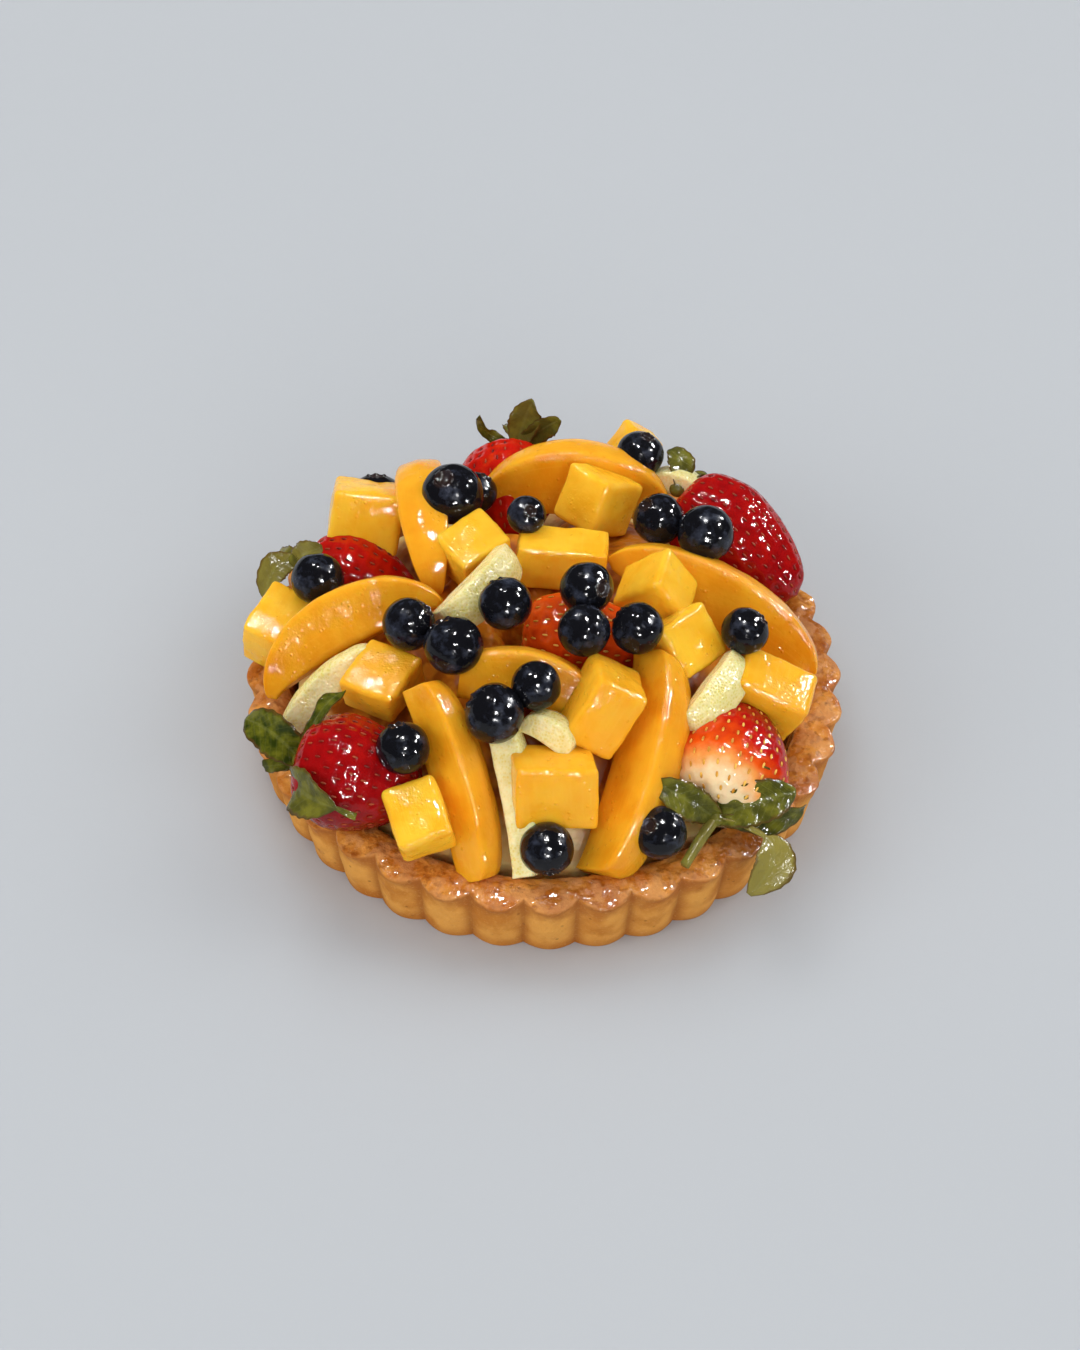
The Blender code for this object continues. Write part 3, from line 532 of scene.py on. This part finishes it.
def crescent(name, one, two, outward, skin_rise, core_rise, skin_width, core_width, blunt, seed):
    """A wedge cut from a round fruit, with its knife edges slightly rounded."""
    one, two = placed(one), placed(two)
    along = (two - one) / np.linalg.norm(two - one)
    out = np.array(outward) - along * (np.array(outward) @ along)
    out /= np.linalg.norm(out)
    across = np.cross(out, along)
    middle, half = (one + two) / 2, np.linalg.norm(two - one) / 2
    rings = []
    turns = np.radians(np.linspace(-84, 84, WEDGE_RINGS))
    for angle in turns:
        taper = blunt + (1 - blunt) * math.cos(angle) ** 0.8
        skin = middle + along * half * math.sin(angle) + out * skin_rise * MM * math.cos(angle)
        core_reach = half * (0.93 if blunt < 0.4 else 0.985)
        core = middle + along * core_reach * math.sin(angle) + out * core_rise * MM * math.cos(angle)
        if blunt >= 0.4:
            core = core - out * (skin_rise - core_rise) * MM * blunt * (1 - math.cos(angle))
        wide, narrow = skin_width * MM / 2 * taper, core_width * MM / 2 * taper
        waist, bulge = (skin + core) / 2, out * 0.12 * wide
        corners = np.array([skin - across * wide - bulge, skin + bulge, skin + across * wide - bulge,
                            waist + across * (wide + narrow) / 2, core + across * narrow, core,
                            core - across * narrow, waist - across * (wide + narrow) / 2])
        ring = np.concatenate([corners[i] + (corners[(i + 1) % 8] - corners[i])
                               * np.linspace(0, 1, STEPS_A_SIDE, endpoint=False)[:, None]
                               for i in range(8)])
        for _ in range(2):
            ring = (np.roll(ring, 1, 0) + 2 * ring + np.roll(ring, -1, 0)) / 4
        rings.append(ring)
    rings = np.array(rings)
    ends = rings[[0, -1]]
    rings[[0, -1]] = ends * 0.8 + ends.mean(1, keepdims=True) * 0.2
    centre = rings.mean(1, keepdims=True)
    away = rings - centre
    away /= np.linalg.norm(away, axis=2, keepdims=True)
    lumps = cloud(rings.reshape(-1, 3), 9 * MM, seed).reshape(rings.shape[:2])
    rings = rings + away * (lumps * 0.30 * MM)[..., None]
    depth = ((rings - centre) @ out) / (max(skin_rise - core_rise, 4) * MM)
    round_ring = 8 * STEPS_A_SIDE
    length = np.linspace(0, 1, WEDGE_RINGS)[:, None] * np.ones(round_ring)
    around = np.arange(round_ring)[None, :] / round_ring * np.ones((WEDGE_RINGS, 1))
    return lofted(name, rings, {"rind": depth, "lengthways": length, "around": around})


pale = Finish("melon_flesh", Roughness=0.08, IOR=1.36, Subsurface_Weight=0.25, Subsurface_Scale=0.003)
granules = pale.cells(0.9 * MM)
melon_colour = pale.mix(pale.step(pale.noise(4 * MM, 3), 0.35, 0.7), tint(248, 230, 164),
                        tint(230, 206, 112))
near_rind = pale.step(pale.attribute("rind"), 0.15, 0.55)
melon_colour = pale.mix(near_rind * 0.6, melon_colour, tint(202, 190, 68))
melon_colour = pale.mix(pale.step(granules, 0.15, 0.6) * 0.35, melon_colour, tint(250, 244, 205))
melon_bump = pale.bump(granules, 0.22 * MM)
pale.paint(Base_Color=melon_colour, Normal=pale.bump(pale.noise(2.5 * MM, 2), 0.25 * MM, melon_bump))
for number, (one, two, outward, width, thick, bow) in enumerate(MELON_STRIPS, 1):
    strip = crescent(f"melon_strip_{number}_cut", one, two, outward, thick / 2 + bow, bow - thick / 2,
                     width, width * 0.8, 0.6, number)
    dress(strip, pale.material, "melon", f"melon_strip_{number}")


# Peach slices: long wedges of ripe yellow peach, deep orange where the knife went through,
# smooth on the skin side, with fine fibres from tip to tip and beads of glaze in places.
PEACH_SLICES = (
    ((-41.0, 71.0, 33.0), (-34.5, 8.0, 45.0), (-0.15, 0.0, 1.0), 22.5, 3.0, 17.0, 0.12),
    ((-24.0, 53.0, 41.0), (38.0, 53.0, 39.0), (0.0, 0.5, 0.87), 23.0, 0.0, 20.0, 0.12),
    ((-31.0, -4.5, 56.0), (-83.5, -22.5, 30.0), (-0.45, 0.75, 0.5), 20.5, 3.0, 18.0, 0.12),
    ((-34.5, -38.5, 60.0), (-16.0, -82.5, 24.0), (0.85, -0.1, 0.55), 7.5, -8.0, 15.0, 0.6),
    ((35.0, -22.0, 56.0), (19.0, -82.0, 26.0), (0.85, -0.3, 0.42), 11.5, -8.0, 17.0, 0.6),
    ((-26.0, -30.0, 56.0), (12.0, -34.0, 52.0), (0.1, 0.75, 0.65), 9.0, -8.0, 18.0, 0.5),
    ((16.0, 18.0, 53.0), (81.0, -7.0, 30.0), (0.42, 0.65, 0.62), 17.5, -2.0, 20.0, 0.12),
)
peach = Finish("peach_flesh", Roughness=0.08, IOR=1.33, Subsurface_Weight=0.4, Subsurface_Scale=0.004)
fibre_place = peach.make("CombineXYZ", {}, {0: peach.attribute("lengthways") * 3.0,
                                            1: peach.attribute("around") * 60.0})
fibres = peach.make("TexNoise", {}, {"Vector": fibre_place, "Scale": 1.0, "Detail": 3.0})
peach_colour = peach.mix(peach.step(peach.noise(12 * MM, 3), 0.35, 0.7), tint(239, 169, 36),
                         tint(229, 148, 22))
peach_colour = peach.mix(peach.step(fibres, 0.5, 0.75) * 0.25, peach_colour, tint(248, 180, 52))
skin_side = peach.step(peach.attribute("rind"), 0.30, 0.55)
peach_colour = peach.mix(skin_side * 0.35, peach_colour, tint(248, 176, 44))
peach_bump = peach.bump(fibres, 0.05 * MM)
peach_bump = peach.bump(peach.noise(1.1 * MM, 2), 0.10 * MM, peach_bump)
peach_bump = peach.bump(peach.noise(2.4 * MM, 1), 0.12 * MM, peach_bump)
beads = peach.step(peach.cells(2.4 * MM), 0.28, 0.0) * peach.step(peach.noise(8 * MM, 1), 0.44, 0.52)
peach_bump = peach.bump(beads, 0.22 * MM, peach_bump)
peach.paint(Base_Color=peach_colour, Normal=peach_bump)
for number, (one, two, outward, skin, core, width, blunt) in enumerate(PEACH_SLICES, 1):
    wedge = crescent(f"peach_slice_{number}_cut", one, two, outward, skin, core, width, width * 0.35, blunt,
                     number + 10)
    dress(wedge, peach.material, "peach", f"peach_slice_{number}")


# Mango pieces: knife-cut blocks of mango, the ripest a deeper yellow, with slightly worn
# edges, the wavy marks of the knife and beads of glaze in places.
MANGO_CUBES = (
    (-58.6, 45.3, 43.5, 22.0, 19.0, 19.5, -28, 5, 3),
    (-23.6, 21.2, 53.4, 17.9, 16.6, 15.0, 6, -5, 37),
    (14.2, 47.5, 51.4, 20.0, 17.0, 18.0, -28, 20, 50),
    (20.8, 74.0, 40.8, 12.0, 11.0, 29.0, -30, 32, 20),
    (3.0, 18.6, 54.0, 27.0, 14.5, 14.0, -9, 4, -2),
    (31.6, 3.8, 55.0, 16.8, 17.6, 17.3, -94, 13, 51),
    (39.2, -13.8, 51.8, 18.6, 17.4, 16.0, 33, 34, 39),
    (64.8, -23.2, 40.7, 23.5, 16.5, 19.9, 7, 20, -15),
    (15.6, -41.0, 53.8, 16.6, 20.0, 22.0, -25, 28, 8),
    (2.0, -62.6, 42.4, 23.5, 17.0, 19.4, -22, 2, 10),
    (-36.4, -71.3, 37.0, 16.2, 19.0, 13.5, 21, -5, 20),
    (-49.1, -28.0, 47.8, 17.9, 18.4, 12.5, 6, -7, -30),
    (-82.5, 4.0, 35.0, 16.0, 20.0, 17.0, 11, 4, -25),
)
RIPEST = (8, 9, 10, 12)
FACE_POINTS = 21
mango = Finish("mango_flesh", IOR=1.33, Subsurface_Weight=0.4, Subsurface_Scale=0.004)
mango_colour = mango.mix(mango.step(mango.noise(9 * MM, 3), 0.35, 0.7), tint(252, 198, 54),
                         tint(246, 180, 36))
mango_colour = mango.mix(mango.attribute("warmth") * 0.6, mango_colour, tint(240, 158, 28))
knife = mango.make("CombineXYZ", {}, {0: mango.attribute("cut_u") * 900.0,
                                      1: mango.attribute("cut_v") * 70.0})
knife = mango.make("TexNoise", {}, {"Vector": knife, "Scale": 1.0, "Detail": 2.0})
mango_colour = mango.mix(mango.step(knife, 0.52, 0.75) * 0.15, mango_colour, tint(252, 204, 76))
mango_bump = mango.bump(knife, 0.08 * MM)
grainy = mango.step(mango.noise(11 * MM, 1), 0.48, 0.58)
mango_bump = mango.bump(mango.noise(0.7 * MM, 2) * (0.3 + grainy), 0.09 * MM, mango_bump)
mango_bump = mango.bump(mango.noise(2.0 * MM, 1), 0.12 * MM, mango_bump)
beads = mango.step(mango.cells(2.4 * MM), 0.28, 0.0) * mango.step(mango.noise(8 * MM, 1), 0.44, 0.52)
mango_bump = mango.bump(beads, 0.22 * MM, mango_bump)
mango.paint(Base_Color=mango_colour, Roughness=0.07 + mango.step(mango.noise(7 * MM, 2), 0.5, 0.65) * 0.08,
            Normal=mango_bump)
for number, (x, y, z, length, depth, tall, tilt_x, tilt_y, spin) in enumerate(MANGO_CUBES, 1):
    half = np.array((length, depth, tall)) / 2 * MM
    steps = np.linspace(-1, 1, FACE_POINTS)
    soft = (1.0 + 0.9 * ((number * 0.618) % 1)) * MM
    quads, corners, offset = [], [], 0
    for axis in range(3):
        for sign in (-1, 1):
            u, v = np.meshgrid(steps, steps, indexing="ij")
            face = np.zeros((FACE_POINTS, FACE_POINTS, 3))
            face[..., axis] = sign
            face[..., (axis + 1) % 3], face[..., (axis + 2) % 3] = u * sign, v
            corners.append(face.reshape(-1, 3))
            for i in range(FACE_POINTS - 1):
                for j in range(FACE_POINTS - 1):
                    a = offset + i * FACE_POINTS + j
                    quads.append((a, a + FACE_POINTS, a + FACE_POINTS + 1, a + 1))
            offset += FACE_POINTS ** 2
    cube = np.concatenate(corners)
    bulge = 1 + 0.045 * np.stack([np.prod(1 - np.delete(cube, axis, 1) ** 2, 1) for axis in range(3)], 1)
    cube = cube * half
    core = np.clip(cube, -(half - soft), half - soft)
    edge = cube - core
    away = edge / np.maximum(np.linalg.norm(edge, axis=1), 1e-9)[:, None]
    body = (core + away * soft) * bulge
    slant = 0.05 * np.sin(number * np.array((1.7, 2.9, 4.3)))
    body[:, :2] += body[:, 2:] * slant[:2]
    body[:, 1] += body[:, 0] * slant[2]
    own = body + number * 0.05
    shake = np.stack([cloud(own, 8 * MM, 20 + axis) * 0.36 * MM + cloud(own, 2.2 * MM, 23 + axis) * 0.10 * MM
                      for axis in range(3)], 1)
    body = body + np.clip(shake, -0.6 * MM, 0.6 * MM)
    turn = (Matrix.Rotation(math.radians(tilt_x), 3, "X") @ Matrix.Rotation(math.radians(tilt_y), 3, "Y")
            @ Matrix.Rotation(math.radians(spin), 3, "Z"))
    body = body @ np.array(turn).T + placed((x, y, z))
    mesh = bpy.data.meshes.new("mango")
    mesh.from_pydata(body.tolist(), [], quads)
    for key, axis in (("cut_u", 0), ("cut_v", 2)):
        mesh.attributes.new(key, "FLOAT", "POINT").data.foreach_set("value", cube[:, axis] + number * 0.1)
    warmth = np.full(len(cube), 0.8 if number in RIPEST else 0.2)
    mesh.attributes.new("warmth", "FLOAT", "POINT").data.foreach_set("value", warmth)
    block = bpy.data.objects.new(f"mango_cube_{number:02d}_cut", mesh)
    bpy.context.scene.collection.objects.link(block)
    weld = block.modifiers.new("weld", "WELD")
    weld.merge_threshold = 0.00002
    block.data = bpy.data.meshes.new_from_object(block.evaluated_get(bpy.context.evaluated_depsgraph_get()))
    block.modifiers.clear()
    block.data.shade_smooth()
    dress(block, mango.material, "mango", f"mango_cube_{number:02d}")


# Blueberries: near-black glazed berries of uneven size, slightly flattened, each with the
# dried five-pointed crown of its flower at one end.
BLUEBERRIES = (
    (-31.0, 38.5, 61.0, 9.6, (-0.3, -0.2, 0.9)),
    (-24.0, 49.5, 51.5, 6.6, (0.5, 0.3, 0.8)),
    (-56.0, 55.5, 40.5, 9.2, (0.0, 0.5, 0.8)),
    (-8.0, 27.0, 64.0, 6.0, (0.2, -0.5, 0.8)),
    (27.2, 66.0, 54.0, 7.6, (0.3, 0.2, 0.9)),
    (32.5, 31.5, 59.5, 7.9, (-0.6, 0.0, 0.8)),
    (46.8, 24.0, 61.0, 8.8, (0.0, -0.8, -0.5)),
    (-71.0, 11.5, 49.5, 8.2, (0.1, -0.7, -0.7)),
    (-41.5, -17.5, 61.5, 8.0, (0.7, 0.2, 0.6)),
    (-28.0, -28.4, 64.6, 8.8, (-0.4, 0.5, 0.7)),
    (-13.4, -14.2, 68.0, 8.0, (-0.4, 0.7, 0.5)),
    (10.6, -7.7, 68.5, 8.0, (0.6, -0.5, 0.5)),
    (9.9, -23.0, 66.5, 7.8, (0.2, 0.4, -0.9)),
    (25.5, -20.5, 65.5, 7.8, (-0.8, 0.3, 0.4)),
    (58.0, -12.5, 57.0, 7.2, (0.7, 0.2, 0.6)),
    (-3.7, -42.0, 62.8, 7.3, (0.0, -0.3, -0.9)),
    (-15.5, -50.0, 59.5, 8.8, (-0.8, 0.2, 0.3)),
    (-41.5, -57.5, 52.0, 7.8, (-0.3, 0.5, 0.8)),
    (0.7, -79.0, 34.0, 7.9, (0.2, -0.9, -0.3)),
    (33.2, -73.0, 35.5, 7.8, (-0.5, -0.3, 0.8)),
)
CROWN_OUTLINE = ((0.01, 0.80), (0.15, 0.80), (0.21, 0.84), (0.26, 0.935), (0.30, 0.935), (0.37, 0.885),
                 (0.72, 0.68), (0.94, 0.36), (1.0, 0.03), (0.94, -0.36), (0.74, -0.69), (0.40, -0.92),
                 (0.01, -0.97))
BALL_STEPS = 60
navy = Finish("blueberry_skin", IOR=1.33)
bloom = navy.step(navy.noise(5 * MM, 4, 0.6), 0.48, 0.72)
navy_colour = navy.mix(bloom * 0.75, tint(16, 16, 20), tint(54, 59, 74))
navy_colour = navy.mix(navy.attribute("crown") * 0.7, navy_colour, tint(48, 34, 30))
navy.paint(Base_Color=navy_colour, Roughness=0.09 + bloom * 0.2,
           Normal=navy.bump(navy.noise(2.6 * MM, 3), 0.2 * MM))
for number, (x, y, z, radius, crown) in enumerate(BLUEBERRIES, 1):
    line = through(CROWN_OUTLINE, 5) * radius * MM
    angles = np.linspace(0, 2 * math.pi, BALL_STEPS, endpoint=False)
    share = line[:, None, 1] / (radius * MM)
    lip = np.exp(-((line[:, None, 0] / (radius * MM) - 0.28) / 0.06) ** 2) * (share > 0.6)
    five_points = 0.5 + 0.5 * np.cos(5 * angles + number)
    r = line[:, None, 0] * (1 + lip * 0.10 * five_points) * 0.99
    h = line[:, None, 1] * (1 - lip * 0.06 * (1 - five_points))
    local = np.stack([r * np.cos(angles), r * np.sin(angles), h * np.ones(BALL_STEPS)], -1)
    middle = placed((x, y, z))
    rings = local @ turned_axes(crown) + middle
    lumps = cloud(rings.reshape(-1, 3), 7 * MM, number + 40).reshape(rings.shape[:2])
    rings = rings + (rings - middle) * (lumps * 0.018)[..., None]
    dark = np.clip(lip + (line[:, None, 0] < 0.26 * radius * MM) * (share > 0.5), 0, 1) * np.ones(BALL_STEPS)
    berry = lofted(f"blueberry_{number:02d}_berry", rings, {"crown": dark})
    dress(berry, navy.material, "blueberry", f"blueberry_{number:02d}")


# Calyxes: the strawberries' own leaves, thin and slightly curled, glossy dark green above
# and grey-green below, on a small green hub, one with its cut stem.
CALYXES = (
    {
        "hub": (-71.8, -51.0, 37.5),
        "leaves": (
            ((-80.0, -45.0, 42.0), (-89.2, -36.0, 38.5), 13.0, 0.0, 1.0, (-0.3, -0.6, 0.7), 0.0),
            ((-66.5, -44.5, 50.5), (-59.5, -36.0, 51.5), 5.0, 0.0, 1.0, (-0.6, -0.5, 0.6), 0.0),
            ((-66.5, -71.0, 44.5), (-54.0, -75.5, 42.5), 14.5, -0.1, 0.78, (-0.1, -0.88, 0.45), 0.2,
             (-72.5, -62.0, 41.0)),
            ((-79.0, -50.0, 34.0), (-83.5, -48.0, 31.0), 5.0, 0.0, 1.0, (-0.6, -0.4, 0.7), 0.1),
        ),
        "stem": None,
    },
    {
        "hub": (49.5, -64.5, 32.5),
        "leaves": (
            ((40.5, -66.0, 42.0), (31.5, -62.0, 44.5), 10.5, 0.0, 1.0, (-0.1, -0.6, 0.8), 0.15),
            ((61.5, -63.0, 38.5), (72.5, -59.0, 38.5), 13.0, 0.0, 1.0, (0.1, -0.7, 0.7), 0.15),
            ((56.0, -58.5, 42.5), (64.5, -56.0, 44.5), 4.5, 0.0, 1.0, (0.0, -0.6, 0.8), 0.2),
            ((66.0, -64.0, 31.5), (76.0, -58.0, 31.5), 8.0, 0.0, 1.0, (0.5, -0.7, 0.3), 0.1),
            ((65.5, -73.0, 31.0), (59.5, -83.0, 20.5), 13.5, 0.42, 1.0, (0.4, -0.8, 0.4), 0.8),
        ),
        "stem": ((40.5, -80.0, 29.5), 1.7),
    },
    {
        "hub": (39.5, 58.0, 47.0),
        "leaves": (
            ((40.0, 64.5, 52.0), (36.5, 69.5, 53.0), 8.5, 0.0, 1.0, (0.3, -0.6, 0.8), 0.2),
            ((46.0, 65.0, 46.0), (52.0, 65.0, 40.0), 8.0, 0.0, 1.0, (0.4, 0.6, 0.6), 0.2),
        ),
        "stem": None,
    },
    {
        "hub": (-12.0, 81.0, 42.0),
        "leaves": (
            ((-9.5, 83.5, 52.0), (-7.0, 82.5, 60.5), 10.5, 0.0, 1.0, (0.0, -0.8, 0.5), 0.4),
            ((-4.0, 82.0, 49.0), (1.5, 80.0, 55.0), 8.0, 0.0, 1.0, (0.2, -0.8, 0.5), 0.2),
            ((-21.5, 84.0, 45.0), (-24.3, 82.0, 54.0), 4.0, 0.0, 1.0, (-0.2, -0.8, 0.5), 0.1),
            ((-13.0, 90.0, 42.0), (-13.0, 94.2, 36.0), 8.0, 0.0, 1.0, (0.0, 0.6, 0.8), 0.3),
        ),
        "stem": None,
    },
    {
        "hub": (-79.5, 31.5, 37.0),
        "leaves": (
            ((-76.0, 25.0, 46.5), (-70.5, 24.5, 50.0), 8.5, 0.0, 1.0, (-0.3, -0.6, 0.7), 0.7),
            ((-86.5, 27.5, 36.0), (-88.5, 20.5, 29.5), 9.5, 0.0, 1.0, (-0.4, -0.6, 0.7), 0.6),
            ((-86.0, 37.0, 33.0), (-89.0, 41.0, 27.0), 8.0, 0.0, 1.0, (-0.6, 0.4, 0.6), 0.4),
        ),
        "stem": None,
    },
)
BLADE_ROWS, BLADE_STEPS, STALK_STEPS, STEM_ROWS = 34, 11, 20, 16
green = Finish("calyx_leaf", IOR=1.33, Specular_IOR_Level=0.3)
edge_on = green.attribute("across")
vein_wave = green.make("Math", {"operation": "SINE"}, {0: (green.attribute("lengthways") * 60.0
                                                          + edge_on.maths("ABSOLUTE") * 14.0)})
veins = green.step(vein_wave, 0.80, 1.0) * 0.5 + green.step(edge_on.maths("ABSOLUTE"), 0.14, 0.03)
leaf_colour = green.mix(green.step(green.noise(4 * MM, 3), 0.35, 0.7), tint(40, 50, 8), tint(104, 104, 26))
leaf_colour = green.mix(green.attribute("pale"), leaf_colour, tint(148, 134, 62))
leaf_colour = green.mix(veins * 0.14, leaf_colour, tint(140, 142, 84))
rim_brown = green.step(edge_on.maths("ABSOLUTE") + green.noise(3 * MM, 2) * 0.3, 0.95, 1.12)
leaf_colour = green.mix(rim_brown * 0.7, leaf_colour, tint(92, 62, 28))
green.paint(Base_Color=leaf_colour, Roughness=0.08 + green.attribute("pale") * 0.15,
            Normal=green.bump(veins * 0.3 + green.noise(2.0 * MM, 2), 0.30 * MM))


def leaf_blade(root, middle, tip, width, starts, ends, facing, seed):
    """A pointed blade with a folded midrib and a toothed, waving edge: both faces and the rim between."""
    root, middle, tip = placed(root), placed(middle), placed(tip)
    pull = middle * 2 - (root + tip) / 2
    rows = []
    for t in np.linspace(0, 1, BLADE_ROWS):
        spine = root * (1 - t) ** 2 + pull * 2 * t * (1 - t) + tip * t ** 2
        along = (pull - root) * (1 - t) + (tip - pull) * t
        side = np.cross(along, facing)
        side /= np.linalg.norm(side)
        up = np.cross(side, along)
        up /= np.linalg.norm(up)
        blade = min(1.0, max(0.0, (t - starts) / (ends - starts)))
        half = width * MM / 2 * max(0.10, math.sin(math.pi * (0.06 + 0.92 * blade)) ** 0.65)
        half *= 1 + 0.035 * math.sin(46 * blade + seed) * (blade > 0.05)
        if not starts <= t <= ends:
            half = 0.8 * MM
        across = np.linspace(-1, 1, BLADE_STEPS)
        fold = np.abs(across) ** 1.3 * half * 0.28
        wave = 0.8 * MM * np.sin(8 * t + seed) * across + 0.5 * MM * np.sin(15 * t + 2 * seed) * across ** 2
        line = spine + side * (across * half)[:, None] + up * (fold + wave)[:, None]
        thick = 0.34 * MM * np.sqrt(np.clip(1 - across ** 2 * 0.8, 0, 1)) + (0.45 * MM if t < starts else 0)
        rows.append(np.concatenate([line + up * thick[:, None], (line - up * thick[:, None])[::-1]]))
    rows = np.array(rows)
    across = np.concatenate([np.linspace(-1, 1, BLADE_STEPS), np.linspace(1, -1, BLADE_STEPS)])
    along = np.linspace(0, 1, BLADE_ROWS)[:, None] * np.ones(2 * BLADE_STEPS)
    return rows, across[None] * np.ones((BLADE_ROWS, 1)), along


for number, spec in enumerate(CALYXES, 1):
    pieces = []
    for count, (middle, tip, width, starts, ends, facing, pallor, *root) in enumerate(spec["leaves"], 1):
        rows, across, along = leaf_blade(root[0] if root else spec["hub"], middle, tip, width, starts, ends,
                                         facing, number * 3 + count)
        pieces.append(lofted(f"leaf_{number}_{count}", rows, {
            "across": across, "lengthways": along, "pale": pallor * np.ones(across.shape)}))
    spin = np.linspace(0, 2 * math.pi, STALK_STEPS, endpoint=False)
    hub_line = through([(0.1, -2.6), (2.2, -1.6), (2.8, 0.0), (2.2, 1.6), (0.1, 2.6)], 4) * MM
    hub = np.stack([hub_line[:, :1] * np.cos(spin), hub_line[:, :1] * np.sin(spin),
                    hub_line[:, 1:] * np.ones(STALK_STEPS)], -1) + placed(spec["hub"])
    flat = np.zeros(hub.shape[:2])
    pieces.append(lofted(f"hub_{number}", hub, {
        "across": flat + 0.5, "lengthways": flat, "pale": flat + 0.3}))
    if spec["stem"]:
        tip, radius = spec["stem"]
        start, end = placed(spec["hub"]), placed(tip)
        axes = turned_axes(end - start)
        line = [start + (end - start) * t + np.array((0, 0, 0.8 * MM)) * math.sin(math.pi * t)
                for t in np.linspace(0, 1, STEM_ROWS)]
        rings = []
        for t, middle in zip(np.linspace(0, 1, STEM_ROWS), line):
            r = radius * MM * (1 - 0.15 * t) * (1 + 0.08 * np.cos(4 * spin + 2 * t))
            rings.append(middle + (r * np.cos(spin))[:, None] * axes[0]
                         + (r * np.sin(spin))[:, None] * axes[1])
        rings = np.array(rings)
        flat = np.zeros(rings.shape[:2])
        pieces.append(lofted(f"stem_{number}", rings, {
            "across": flat + 0.5, "lengthways": flat, "pale": flat + 0.55}))
    calyx = pieces[0]
    with bpy.context.temp_override(active_object=calyx, object=calyx, selected_objects=pieces,
                                   selected_editable_objects=pieces):
        bpy.ops.object.join()
    calyx.name = f"calyx_{number}_leaves"
    dress(calyx, green.material, "leaf", f"calyx_{number}")


# Studio: a plain pale floor under broad soft light from all sides, which lights the pieces but
# isn't mirrored, and seven small round lamps, which only show as glints on the glaze.
FLOOR_REACH = 3
floor_mesh = bpy.data.meshes.new("floor")
floor_corners = [(x * FLOOR_REACH, y * FLOOR_REACH, 0) for x, y in ((-1, -1), (1, -1), (1, 1), (-1, 1))]
floor_mesh.from_pydata(floor_corners, [], [(0, 1, 2, 3)])
floor = bpy.data.objects.new("floor", floor_mesh)
bpy.context.scene.collection.objects.link(floor)
ground = Finish("floor", Roughness=0.8, Specular_IOR_Level=0.1)
ground.paint(Base_Color=ground.mix(ground.noise(0.4, 2), tint(176, 179, 182), tint(180, 183, 186)))
floor.data.materials.append(ground.material)

world = bpy.data.worlds.new("studio")
bpy.context.scene.world = world
world.use_nodes = True
sky = world.node_tree
sky.nodes["Background"].inputs["Color"].default_value = (0.95, 0.97, 1.0, 1.0)
WORLD_LIGHT, WORLD_MIRRORED = 0.75, 0.05
mirrored = sky.nodes.new("ShaderNodeLightPath")
strength = sky.nodes.new("ShaderNodeMapRange")
strength.inputs["To Min"].default_value = WORLD_LIGHT
strength.inputs["To Max"].default_value = WORLD_MIRRORED
sky.links.new(mirrored.outputs["Is Glossy Ray"], strength.inputs["Value"])
sky.links.new(strength.outputs["Result"], sky.nodes["Background"].inputs["Strength"])
bpy.context.scene.view_settings.view_transform = "Standard"


def lamp(name, place, size, watts, shape="SQUARE"):
    """A square lamp only lights things, and a round one only glints on them."""
    light = bpy.data.lights.new(name, "AREA")
    light.shape, light.size, light.energy = shape, size, watts
    bulb = bpy.data.objects.new(name, light)
    bpy.context.scene.collection.objects.link(bulb)
    bulb.location = place
    bulb.rotation_euler = (Vector((0, 0, 0.03)) - Vector(place)).to_track_quat("-Z", "Y").to_euler()
    bulb.visible_glossy = shape == "DISK"
    bulb.visible_diffuse = shape == "SQUARE"


lamp("back_box", (-0.35, 0.75, 1.25), 0.8, 6)
lamp("left_box", (-1.1, -0.6, 0.8), 0.9, 6)
lamp("right_box", (0.9, 0.3, 1.0), 0.8, 4)
lamp("front_box", (0.5, -1.4, 0.7), 0.9, 5.6)
ROUND_LAMPS = (((0.0, 0.11, 1.40), 20), ((0.98, 0.12, 0.84), 20), ((0.28, -0.92, 1.01), 16),
               ((0.13, -1.21, 0.45), 9), ((1.01, -0.60, 0.24), 6), ((0.94, 0.65, 0.61), 12),
               ((-0.45, 0.39, 1.14), 7))
for number, (place, watts) in enumerate(ROUND_LAMPS, 1):
    lamp(f"round_lamp_{number}", place, 0.09, watts, "DISK")
